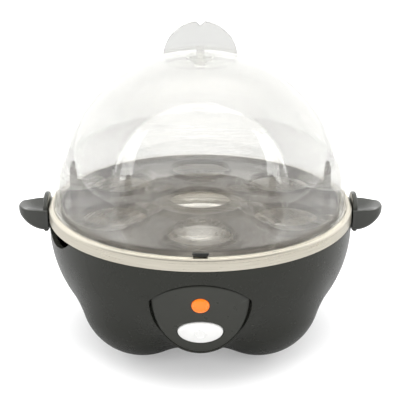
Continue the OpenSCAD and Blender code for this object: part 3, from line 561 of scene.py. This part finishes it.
plate = slab(shield, [(-0.5, sunk(PANEL_T)), (0, sunk(PANEL_T - 0.5)), (0, sunk(1.0)), (-0.12, sunk(0.55)),
                      (-0.4, sunk(0.2)), (-0.9, sunk(0))], rows=12, middle=MIDDLE)
panel_mesh = worked(mesh_of("panel", placed(plate, PANEL_AT)),
                    ("DIFFERENCE", placed(joined(
                        placed(hole(oval(button_size[0] + 0.6, button_size[1] + 0.6)), shift_button),
                        placed(hole(oval(lens_d + 0.2, lens_d + 0.2, 48), 0.3, 0.3), shift_lens)), PANEL_AT)))
piece("panel_plate", "base", PANEL_ABS, panel_mesh, ["control_panel"])

# ---- cutting the shell -------------------------------------------------------

INLET_Z = 22.0
inlet_at = Matrix.Translation((0, 0, INLET_Z)) @ Matrix.Rotation(math.radians(-90), 4, "X")
seat = turned(rounded([(0, 60, 0), (8.5, 60, 0), (8.5, 69, 0.8), (0, 69, 0)]), 64, loop=False)
inlet_hole = turned([(0, 56), (4.55, 56), (4.55, 69), (7, 69), (7, 80), (0, 80)], 48, loop=False)
feet_at = [Matrix.Rotation(s, 4, "Z") @ Matrix.Translation((FOOT_BALL[0], 0, 0))
           for s in (FOOT_TURN, math.pi - FOOT_TURN, math.pi + FOOT_TURN, -FOOT_TURN)]
pad_seat = turned([(0, -2), (6.9, -2), (6.65, 1.4), (6.65, 2.2), (0, 2.2)], 48, loop=False)
pillars_at = [Matrix.Rotation(math.radians(q), 4, "Z") @ Matrix.Translation((38, 0, 0)) for q in (0, 90, 180, 270)]
screw_pit = turned([(0, 6), (4.3, 6), (4.05, 8.2), (4.05, 8.4), (2.2, 8.4), (2.2, 12), (0, 12)], 40, loop=False)
NOTCH_R, NOTCH_DEPTH = 24.2, 6.6
notch_at = (Matrix.Rotation(math.radians(204), 4, "Z") @ Matrix.Translation((0, 0, RIM_Z - NOTCH_DEPTH + NOTCH_R))
            @ Matrix.Rotation(math.radians(90), 4, "Y"))
notch = turned([(0, 71), (NOTCH_R, 71), (NOTCH_R, 100), (0, 100)], 160, loop=False)
shell_mesh = worked(
    mesh_of("shell", shell),
    ("UNION", placed(pod, PANEL_AT)), ("DIFFERENCE", hollow), ("UNION", placed(seat, inlet_at)),
    ("DIFFERENCE", placed(pod_room, PANEL_AT)), ("DIFFERENCE", placed(inlet_hole, inlet_at)),
    ("DIFFERENCE", placed(notch, notch_at)), ("DIFFERENCE", joined(*[placed(pad_seat, m) for m in feet_at])),
    ("DIFFERENCE", joined(*[placed(screw_pit, m) for m in pillars_at])))
piece("bowl_and_feet", "base", BOWL_PP, shell_mesh, ["base_shell"], sharp=38)

# ---- feet, gland, base screws ------------------------------------------------

pad = turned(rounded([(0, 0, 0), (6.5, 0, 0.5), (6.5, 2.2, 0.2), (0, 2.2, 0)]), 48, loop=False)
ring_groove = turned(rounded([(4.2, -0.4, 0), (5.2, -0.4, 0), (5.2, 0.35, 0.1), (4.2, 0.35, 0.1)]), 48)
pad_mesh = worked(mesh_of("pads", joined(*[placed(pad, m) for m in feet_at])),
                  ("DIFFERENCE", joined(*[placed(ring_groove, m) for m in feet_at])))
piece("foot_pads_ribbed", "base", PAD_RUBBER, pad_mesh, ["foot_pads"])

gland_low, gland_high = corners("cord_gland")
gland = turned(rounded([(3.4, gland_low.y, 0.2), (5.5, gland_low.y, 0.2), (5.5, gland_low.y + 1.5, 0.2),
                        (4.5, gland_low.y + 1.5, 0), (4.5, 69, 0), (6.5, 69, 0.2), (6.5, gland_high.y, 0.8),
                        (3.4, gland_high.y, 0.6)]), 64)
piece("mains_gland", "base", GLAND_NYLON, mesh_of("gland", placed(gland, inlet_at)), ["cord_gland"])

screw_low, screw_high = corners("base_screws")
head_top = screw_low.z + 2.0
screw = turned(rounded([(0, screw_low.z, 0), (3.75, screw_low.z + 0.1, 0.7), (3.75, head_top, 0.1),
                        (1.75, head_top, 0.2)]
                       + [(2.0 - 0.35 * (k % 2), head_top + 0.9 + k * 0.35, 0) for k in range(28)]
                       + [(0, screw_high.z, 0)], 2), 40, loop=False)
slot_depth = [(0, screw_low.z - 1), (-0.2, screw_low.z + 1.2)]
arms = [slab([(-2.3, -0.45), (2.3, -0.45), (2.3, 0.45), (-2.3, 0.45)], slot_depth),
        slab([(-0.45, -2.3), (0.45, -2.3), (0.45, 2.3), (-0.45, 2.3)], slot_depth)]
screw_mesh = worked(mesh_of("screws", joined(*[placed(screw, m) for m in pillars_at])),
                    ("DIFFERENCE", joined(*[placed(arms[0], m) for m in pillars_at])),
                    ("DIFFERENCE", joined(*[placed(arms[1], m) for m in pillars_at])))
piece("base_screws_cross", "base", ZINC, screw_mesh, ["base_screws"])

# ---- rim band and pan --------------------------------------------------------

band_high = corners("steel_band")[1]
lip_r = BOWL_R - 3.8
band = turned(rounded([(BOWL_R - 0.8, RIM_Z, 0.1), (BOWL_R, RIM_Z, 0.15), (BOWL_R, band_high.z, 1.3),
                       (lip_r, band_high.z, 0.5), (lip_r, RIM_Z + 2, 0.1), (lip_r + 0.8, RIM_Z + 2, 0.1),
                       (lip_r + 0.8, band_high.z - 0.8, 0.2), (BOWL_R - 0.8, band_high.z - 0.8, 0.5)], 5), 256)
piece("trim_band", "base", BAND_STEEL, mesh_of("band", band), ["steel_band"])

PAN_TOP = corners("heating_plate")[1].z
PAN_FLOOR = PAN_TOP - 15
PAN_R = BOWL_R - 8
flange_r = corners("heating_plate")[1].x
pan = turned(rounded([(0, PAN_FLOOR - 1, 0), (PAN_R - 6, PAN_FLOOR - 1, 2.5), (PAN_R - 2.4, PAN_FLOOR + 2, 3),
                      (PAN_R + 0.4, PAN_TOP - 1, 0.4), (flange_r, PAN_TOP - 1, 0.3), (flange_r, PAN_TOP, 0.3),
                      (PAN_R, PAN_TOP, 0.9), (PAN_R - 3.4, PAN_FLOOR + 2.6, 3), (PAN_R - 6, PAN_FLOOR, 2.5),
                      (48, PAN_FLOOR, 0.8), (46.5, PAN_FLOOR + 1.2, 0.8), (42.5, PAN_FLOOR + 1.2, 0.8),
                      (41, PAN_FLOOR, 0.8), (30, PAN_FLOOR, 0.5), (29.4, PAN_FLOOR + 0.35, 0.3),
                      (28.6, PAN_FLOOR + 0.35, 0.3), (28, PAN_FLOOR, 0.5), (9, PAN_FLOOR, 0.4),
                      (8, PAN_FLOOR + 0.4, 0.3), (0, PAN_FLOOR + 0.4, 0)], 4), 256, loop=False)
piece("water_pan", "base", PAN_SPUN, mesh_of("pan", pan), ["heating_plate"])

# ---- side handles --------------------------------------------------------------

EAR_ROOT = BOWL_R + 0.2
EAR_TOP = RIM_Z + 4
EAR_REACH = corners("handle_right")[1].x - EAR_ROOT
EAR_W = 21.0
EAR_T = 11.0
GUARD_TOP = corners("handle_right")[1].z
GUARD_T = 2.6


def dish(x, y):
    """Top of the thumb rest: a hollow that sinks towards the guard and swells softly into the rim round it."""
    across, along = y / (EAR_W / 2), (x - EAR_ROOT) / EAR_REACH
    bowl = max(0.0, 1 - (across / 0.92) ** 2) * max(0.0, 1 - ((along - 0.28) / 0.62) ** 2)
    return EAR_TOP - 0.4 - 3.4 * bowl ** 1.25 + 0.5 * along


def flank(x, y):
    """Underside of the thumb rest, which rises outwards."""
    along = max(0.0, x - EAR_ROOT - GUARD_T) / (EAR_REACH - GUARD_T)
    return EAR_TOP - EAR_T - 0.8 + 6.6 * along ** 1.8


def ear_ring(inset, scale, drop, surface):
    middle = np.array([EAR_ROOT + 6.5, 0.0])
    ring = []
    for k in range(72):
        q = math.radians(-90 + 180 * k / 48) if k <= 48 else None
        if q is not None:
            full = (abs(math.cos(q)) ** 2.5 + abs(math.sin(q)) ** 2.5) ** -0.4
            p = np.array([EAR_ROOT + (EAR_REACH - inset) * full * math.cos(q),
                          (EAR_W / 2 - inset) * full * math.sin(q)])
        else:
            t = (k - 48) / 24
            p = np.array([EAR_ROOT, (EAR_W / 2 - inset) * (1 - 2 * t)])
        p = middle + (p - middle) * scale
        ring.append((p[0], p[1], surface(p[0], p[1]) + drop))
    return ring


def arch(half, top, low, count=36):
    """Outline of a plate with a half-round top."""
    curve = [(half * math.cos(math.pi * k / count), top - half + half * math.sin(math.pi * k / count))
             for k in range(count + 1)]
    return curve + [(-half, low), (half, low)]


BELLY, LIP = 3.2, 0.9
round_off = [math.radians(q) for q in (0, 18, 36, 54, 72, 90)]
under = [ear_ring(BELLY * (1 - math.sin(a)), 1, BELLY * (1 - math.cos(a)), flank) for a in round_off]
over = [ear_ring(LIP * (1 - math.cos(a)), 1, -LIP * (1 - math.sin(a)), dish) for a in round_off]
inwards = [0.92, 0.84, 0.75, 0.66, 0.57, 0.48, 0.38, 0.28, 0.18, 0.09]
rest = loft([[(EAR_ROOT + 6.5, 0, flank(EAR_ROOT + 6.5, 0))]]
            + [ear_ring(BELLY, s, 0, flank) for s in reversed(inwards)] + under + over
            + [ear_ring(LIP, s, 0, dish) for s in inwards] + [[(EAR_ROOT + 6.5, 0, dish(EAR_ROOT + 6.5, 0))]])
upright = Matrix(((0, 0, 1, 0), (1, 0, 0, 0), (0, 1, 0, 0), (0, 0, 0, 1)))
guard = placed(slab(arch(9.5, GUARD_TOP, RIM_Z - 8), edge_levels(EAR_ROOT, EAR_ROOT + GUARD_T, 0.9)), upright)
spigots = joined(*[placed(slab(oval(4, 4, 32), [(0, BOWL_R - BOWL_WALL), (0, EAR_ROOT + 1)]),
                          upright @ Matrix.Translation((y, RIM_Z - 5.5, 0))) for y in (-5.5, 5.5)])
ear_mesh = worked(mesh_of("ear", guard), ("UNION", rest), ("UNION", spigots))
flipped = bmesh.new()
flipped.from_mesh(ear_mesh)
for v in flipped.verts:
    v.co.x = -v.co.x
bmesh.ops.reverse_faces(flipped, faces=flipped.faces)
left_mesh = bpy.data.meshes.new("ear_left")
flipped.to_mesh(left_mesh)
flipped.free()
piece("thumb_rest_right", "base", EAR_PHENOLIC, ear_mesh, ["handle_right"])
piece("thumb_rest_left", "base", EAR_PHENOLIC, left_mesh, ["handle_left"])

# ---- lens and button -------------------------------------------------------------

lens = turned(rounded([(0, 1.4, 0)] + [(8.5 * math.sin(a), 8.5 * math.cos(a) - 7.1, 0)
                                       for a in (math.radians(4 * k) for k in range(1, 7))]
                      + [(lens_d / 2, 0.2, 0.5), (lens_d / 2, -2.6, 0), (lens_d / 2 + 1, -2.6, 0.1),
                         (lens_d / 2 + 1, -4.2, 0.1), (lens_d / 2 - 1.2, -4.2, 0), (lens_d / 2 - 1.2, -0.6, 0.3),
                         (0, -0.6, 0)]), 64, loop=False)
piece("lamp_lens_domed", "base", LENS_AMBER, mesh_of("lens", placed(lens, PANEL_AT @ shift_lens)), ["lamp_lens"])

BUTTON_BALL = 48.0
PROUD = 1.2


def cap(x, y):
    """Domed top of the button above the panel's middle."""
    return PROUD - BUTTON_BALL + math.sqrt(BUTTON_BALL ** 2 - x * x - y * y)


def below_cap(depth):
    return lambda x, y: cap(x, y) - depth


button_skin = slab(oval(*button_size), [(-1.5, -1.8), (-1.5, -6), (0, -6), (0, below_cap(1.0)), (-0.13, below_cap(0.5)),
                                        (-0.5, below_cap(0.13)), (-1.0, below_cap(0))], rows=8)
stem = slab(oval(6, 6, 40), edge_levels(-15.5, -1.0, 0.4))


def mark_strip(line, width=0.34, rise=0.3):
    """A raised strip with a rounded top that follows the button's dome."""
    rings = []
    for k, (x, y) in enumerate(line):
        ahead = np.array(line[min(k + 1, len(line) - 1)]) - np.array(line[max(k - 1, 0)])
        side = np.array([-ahead[1], ahead[0]]) / np.linalg.norm(ahead)
        rings.append([(x + side[0] * width * a, y + side[1] * width * a, cap(x, y) + h)
                      for a, h in ((-1.15, -0.3), (-1.0, 0.5 * rise), (-0.6, 0.9 * rise), (0, rise), (0.6, 0.9 * rise),
                                   (1.0, 0.5 * rise), (1.15, -0.3))])
    first, last = [tuple(np.mean(r, 0)) for r in (rings[0], rings[-1])]
    return loft([[first]] + rings + [[last]])


open_ring = [(2.5 * math.sin(q), 2.5 * math.cos(q)) for q in (math.radians(32 + 296 * k / 48) for k in range(49))]
bar = [(0, 0.5 + 2.7 * k / 10) for k in range(11)]
button_at = PANEL_AT @ shift_button
button_mesh = worked(mesh_of("button", placed(button_skin, button_at)),
                     ("UNION", placed(joined(mark_strip(open_ring), mark_strip(bar)), button_at)),
                     ("UNION", placed(stem, button_at)))
piece("power_button_cap", "button", BUTTON_ABS, button_mesh, ["power_button"])

# ---- lid -------------------------------------------------------------------------

dome_low, dome_high = corners("lid_dome")
DOME_R = 75.4
DOME_IN = DOME_R - 2
DOME_Z = dome_high.z - DOME_R
band_top = band_high.z
flange_top, lid_flange_r = band_top + 1.6, DOME_R + 1.2
ball = [math.radians(90 * k / 72) for k in range(1, 72)]
outside = [(DOME_R * math.sin(a), DOME_Z + DOME_R * math.cos(a), 0) for a in ball]
inside = [(DOME_IN * math.sin(a), DOME_Z + DOME_IN * math.cos(a), 0) for a in reversed(ball)]
skirt_r = DOME_R - 0.8
dome = turned(rounded([(0, DOME_Z + DOME_R, 0)] + outside
                      + [(DOME_R, DOME_Z, 0), (DOME_R, flange_top, 0.6), (lid_flange_r, flange_top, 0.6),
                         (lid_flange_r, band_top, 0.3), (skirt_r, band_top, 0.2), (skirt_r, dome_low.z, 0.5),
                         (DOME_IN, dome_low.z, 0.4),
                         (DOME_IN, DOME_Z, 0)] + inside + [(0, DOME_Z + DOME_IN, 0)]), 256, loop=False)
vent = turned([(0, DOME_Z), (2.5, DOME_Z), (2.5, DOME_Z + 90), (0, DOME_Z + 90)], 40, loop=False)
stud_hole = turned([(0, DOME_Z + 60), (2.2, DOME_Z + 60), (2.2, DOME_Z + 90), (0, DOME_Z + 90)], 40, loop=False)
TAB_W, TAB_H = 8.5, 2.0
tab_outline = [(-TAB_W / 2 + 1, 0), (TAB_W / 2 - 1, 0), (TAB_W / 2, TAB_H), (-TAB_W / 2, TAB_H)]
forwards = Matrix.Rotation(math.radians(90), 4, "X")
slot_cut = placed(slab(tab_outline, [(0, 0), (0, 12)]),
                  Matrix.Translation((0, -DOME_R - SLIP, band_top + SLIP)) @ forwards)
dome_mesh = worked(mesh_of("dome", dome),
                   ("DIFFERENCE", joined(placed(vent, Matrix.Translation((0, 24, 0))), stud_hole, slot_cut)))
piece("dome_clear", "lid", LID_CLEAR, dome_mesh, ["lid_dome"], sharp=40)

tab = placed(slab(rounded([(x, y, 0.4) for x, y in grown(tab_outline, -0.05)], 3), edge_levels(0, 1.2, 0.3)),
             Matrix.Translation((0, -DOME_R - SLIP - 0.05, band_top + SLIP)) @ forwards)
piece("locating_tab", "lid", TAB_ABS, mesh_of("tab", tab), ["lid_locator"])

FIN_R = 18.8
fin_low, fin_high = corners("lid_handle")
FIN_Z = fin_high.z - FIN_R
NOTCH_HALF = 2.1


def fin_outline():
    """Half disc with a small V across its top, carried down into the dome."""
    gap = math.asin(NOTCH_HALF / FIN_R)
    side = [(FIN_R * math.sin(a), FIN_Z + FIN_R * math.cos(a), 0)
            for a in (gap + (math.pi / 2 - gap) * k / 48 for k in range(49))]
    side[0] = side[0][:2] + (0.35,)
    mirrored = [(-x, z, r) for x, z, r in reversed(side)]
    foot = [(FIN_R, FIN_Z - 9, 0), (-FIN_R, FIN_Z - 9, 0)]
    groove = [(0, FIN_Z + FIN_R - 2.05, 0.3)]
    return rounded((side + foot + mirrored + groove)[::-1], 3)


def fin_half(z):
    return 3.0 - max(0.0, min(1.0, (z - FIN_Z - 2) / (FIN_R - 1)))


fin_edge = 0.45
fin_rings = []
for sign in (-1, 1):
    for growth, back in ((-fin_edge, 0.0), (-fin_edge * 0.3, fin_edge * 0.3), (0.0, fin_edge))[::-sign]:
        fin_rings.append([(x, sign * (fin_half(z) - back), z) for x, z in grown(fin_outline(), growth)])
fin_caps = [[(0, y, FIN_Z + 6)] for y in (-fin_half(FIN_Z + 6), fin_half(FIN_Z + 6))]


def inner_rings(ring, y_sign):
    return [[(x * s, y_sign * fin_half(FIN_Z + 6 + (z - FIN_Z - 6) * s), FIN_Z + 6 + (z - FIN_Z - 6) * s)
             for x, _, z in ring] for s in (0.85, 0.65, 0.45, 0.25)]


fin = loft([fin_caps[0]] + inner_rings(fin_rings[0], -1)[::-1] + fin_rings + inner_rings(fin_rings[-1], 1)
           + [fin_caps[1]])
dome_ball = turned([(0, DOME_Z - DOME_R - 0.05)]
                   + [((DOME_R + 0.05) * math.sin(a), DOME_Z - (DOME_R + 0.05) * math.cos(a))
                      for a in (math.radians(180 * k / 120) for k in range(1, 120))]
                   + [(0, DOME_Z + DOME_R + 0.05)], 160, loop=False)
stud_top = DOME_Z + DOME_R + 1
stud = turned(rounded([(0, fin_low.z, 0), (2, fin_low.z, 0.4), (2, stud_top, 0), (0, stud_top, 0)]),
              40, loop=False)
fin_mesh = worked(mesh_of("fin", fin), ("DIFFERENCE", dome_ball), ("UNION", stud))
piece("lid_grip", "lid", HANDLE_CLEAR, fin_mesh, ["lid_handle"])

nut_low, nut_high = corners("lid_handle_nut")
nut = turned(rounded([(0, nut_low.z, 0), (3.2, nut_low.z, 0.6), (3.2, nut_high.z - 2.9, 0.5),
                      (7, nut_high.z - 2.9, 0.7), (7, nut_high.z, 0.3), (2.05, nut_high.z, 0),
                      (2.05, nut_low.z + 1.9, 0), (0, nut_low.z + 1.9, 0)]), 64, loop=False)
piece("grip_nut", "lid", HANDLE_CLEAR, mesh_of("nut", nut), ["lid_handle_nut"])

# ---- egg tray ----------------------------------------------------------------------

tray_high = corners("egg_tray")[1]
TRAY_R = tray_high.y
TRAY_Z = PAN_TOP + 2.5
TRAY_T = 1.8
RIM_TOP = PAN_TOP + 6
places = [(0.0, 0.0)] + [(49.5 * math.cos(q), 49.5 * math.sin(q)) for q in
                         (math.radians(-90 + 60 * k) for k in range(6))]
HOLE_R, COLLAR_T, COLLAR_H = 16.0, 1.6, 1.4
plate_skin = turned(rounded([(0, TRAY_Z, 0), (TRAY_R - 1.6, TRAY_Z, 0.4), (TRAY_R - 1.6, PAN_TOP, 0.4),
                             (TRAY_R, PAN_TOP, 0.4), (TRAY_R, RIM_TOP, 0.7), (TRAY_R - 1.6, RIM_TOP, 0.7),
                             (TRAY_R - 1.6, TRAY_Z + TRAY_T, 0.8), (0, TRAY_Z + TRAY_T, 0)]), 192, loop=False)
collar = turned(rounded([(HOLE_R - 1, TRAY_Z + 0.3, 0), (HOLE_R + COLLAR_T, TRAY_Z + 0.3, 0),
                         (HOLE_R + COLLAR_T, TRAY_Z + TRAY_T + COLLAR_H, 0.7),
                         (HOLE_R - 1, TRAY_Z + TRAY_T + COLLAR_H, 0)]), 72)
egg_seat = turned([(0, TRAY_Z - 1), (HOLE_R + 0.4, TRAY_Z - 1), (HOLE_R + 0.4, TRAY_Z), (HOLE_R, TRAY_Z + 0.5),
                   (HOLE_R, TRAY_Z + TRAY_T + COLLAR_H - 0.7), (HOLE_R + 0.2, TRAY_Z + TRAY_T + COLLAR_H - 0.2),
                   (HOLE_R + 0.7, TRAY_Z + TRAY_T + COLLAR_H + 0.02), (HOLE_R + 0.7, TRAY_Z + 8), (0, TRAY_Z + 8)],
                  72, loop=False)
ARM_X, ARM_T = 65.4, 1.8
arm = placed(slab(arch(8, tray_high.z, TRAY_Z + 0.5), edge_levels(ARM_X, ARM_X + ARM_T, 0.5)), upright)
arm_twin = placed(arm, Matrix.Rotation(math.pi, 4, "Z"))
at = [Matrix.Translation((x, y, 0)) for x, y in places]
tray_mesh = worked(mesh_of("tray", plate_skin), ("UNION", joined(*[placed(collar, m) for m in at])),
                   ("DIFFERENCE", joined(*[placed(egg_seat, m) for m in at])), ("UNION", joined(arm, arm_twin)))
piece("egg_tray_smoke", "tray", TRAY_SMOKE, tray_mesh, ["egg_tray"], sharp=40)

# ---- CAD pieces that keep their shape ------------------------------------------------

KEPT = {
    "plate_gasket": GASKET, "heating_element": SHEATH, "thermostat": STEATITE, "thermostat_bracket": ZINC,
    "thermal_fuse": FUSE_BRASS, "fuse_clip": ZINC, "clamp_pillars": PILLAR_ALLOY, "handle_screws": ZINC,
    "neon_lamp": NEON_GLASS, "button_spring": ZINC, "switch_body": SWITCH_NYLON, "switch_screws": ZINC,
    "cord_clamp": SWITCH_NYLON, "clamp_screws": ZINC, "terminal_block": BLOCK_NYLON, "block_screws": ZINC,
    "wire_mains_live": LEAD_BROWN, "wire_switched": LEAD_BROWN, "wire_fused": LEAD_BROWN, "wire_heater": LEAD_BROWN,
    "wire_neutral": LEAD_BLUE, "wires_lamp": LEAD_WHITE,
}
for node_name, finish in KEPT.items():
    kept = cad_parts[node_name]
    for holder in kept.material_slots:
        holder.material = finish

# ---- floor, light and camera ----------------------------------------------------------

floor_mesh = bpy.data.meshes.new("studio_floor")
half_floor = 4.0
floor_mesh.from_pydata([(-half_floor, -half_floor, 0), (half_floor, -half_floor, 0), (half_floor, half_floor, 0),
                        (-half_floor, half_floor, 0)], [], [(0, 1, 2, 3)])
floor = bpy.data.objects.new("studio_floor", floor_mesh)
bpy.context.collection.objects.link(floor)
# White paper sweep: matt, and a little darker to everything but the camera, so that it doesn't wash out the plastic
paper = bpy.data.materials.new("paper_sweep_white")
paper.use_nodes = True
paper.node_tree.nodes.clear()
lit = add(paper.node_tree, "BsdfDiffuse", Color=linear("#f7f7f7"))
sheen = add(paper.node_tree, "Emission", Color=linear("#ffffff"), Strength=1.0)
seen = add(paper.node_tree, "MixShader", Fac=0.3, Shader=lit)
paper.node_tree.links.new(sheen, seen.node.inputs[2])
thrown = add(paper.node_tree, "BsdfDiffuse", Color=linear("#a8a8a8"))
sheet = add(paper.node_tree, "MixShader", Fac=add(paper.node_tree, "LightPath", out="Is Camera Ray"))
paper.node_tree.links.new(thrown, sheet.node.inputs[1])
paper.node_tree.links.new(seen, sheet.node.inputs[2])
close(paper.node_tree, sheet)
floor_mesh.materials.append(paper)

world = bpy.data.worlds.new("studio")
bpy.context.scene.world = world
world.use_nodes = True
sky = world.node_tree
sky.nodes.clear()
aim = add(sky, "SeparateXYZ", Vector=add(sky, "TexCoord", out="Generated")).node.outputs
front_dim = add(sky, "MapRange", dict(LIMIT, interpolation_type="SMOOTHSTEP"), Value=aim["Y"],
                From_Min=-0.75, From_Max=0.25, To_Min=0.28, To_Max=1.4)
overhead_lift = add(sky, "MapRange", dict(LIMIT, interpolation_type="SMOOTHSTEP"), Value=aim["Z"],
                    From_Min=0.25, From_Max=0.75, To_Min=0.28, To_Max=1.15)
brightness = add(sky, "Math", dict(operation="MAXIMUM"))
sky.links.new(front_dim, brightness.node.inputs[0])
sky.links.new(overhead_lift, brightness.node.inputs[1])
ambient = add(sky, "Background", Color=linear("#ffffff"), Strength=brightness)
backdrop = add(sky, "Background", Color=linear("#ffffff"), Strength=1.0)
chosen = add(sky, "MixShader", Fac=add(sky, "LightPath", out="Is Camera Ray"))
sky.links.new(ambient, chosen.node.inputs[1])
sky.links.new(backdrop, chosen.node.inputs[2])
add(sky, "OutputWorld", Surface=chosen)


def softbox(name, place, target, size, power, colour="#ffffff"):
    """A rectangular studio light aimed at a point; place and target in metres, size (width, height)."""
    lamp = bpy.data.lights.new(name, "AREA")
    lamp.shape, lamp.size, lamp.size_y, lamp.energy = "RECTANGLE", size[0], size[1], power
    lamp.color = linear(colour)[:3]
    holder = bpy.data.objects.new(name, lamp)
    bpy.context.collection.objects.link(holder)
    holder.location = place
    holder.rotation_euler = (Vector(target) - Vector(place)).to_track_quat("-Z", "Y").to_euler()
    return holder


CENTRE = (0, 0, 0.07)
for side, name in ((-1, "left_box"), (1, "right_box")):
    softbox(name, (side * 1.0, -0.9, 0.35), CENTRE, (0.5, 1.0), 9.0).visible_glossy = False
softbox("overhead", (0, 0.1, 1.5), CENTRE, (1.6, 1.3), 26.0).visible_glossy = False
softbox("left_rim", (-1.1, 0.7, 0.45), CENTRE, (0.5, 0.9), 8.0).visible_glossy = False
softbox("right_rim", (1.1, 0.7, 0.45), CENTRE, (0.5, 0.9), 8.0).visible_glossy = False

camera_data = bpy.data.cameras.new("camera")
camera_data.sensor_width = 36
camera_data.lens = 89.76
camera_data.clip_start, camera_data.clip_end = 0.01, 50
camera = bpy.data.objects.new("camera", camera_data)
bpy.context.collection.objects.link(camera)
pitch, distance = math.radians(20.257), 0.525
camera.location = (-0.00019, -distance * math.cos(pitch), 0.0708 + distance * math.sin(pitch))
camera.rotation_euler = (math.pi / 2 - pitch, 0, 0)
bpy.context.scene.camera = camera
bpy.context.scene.view_settings.view_transform = "Standard"
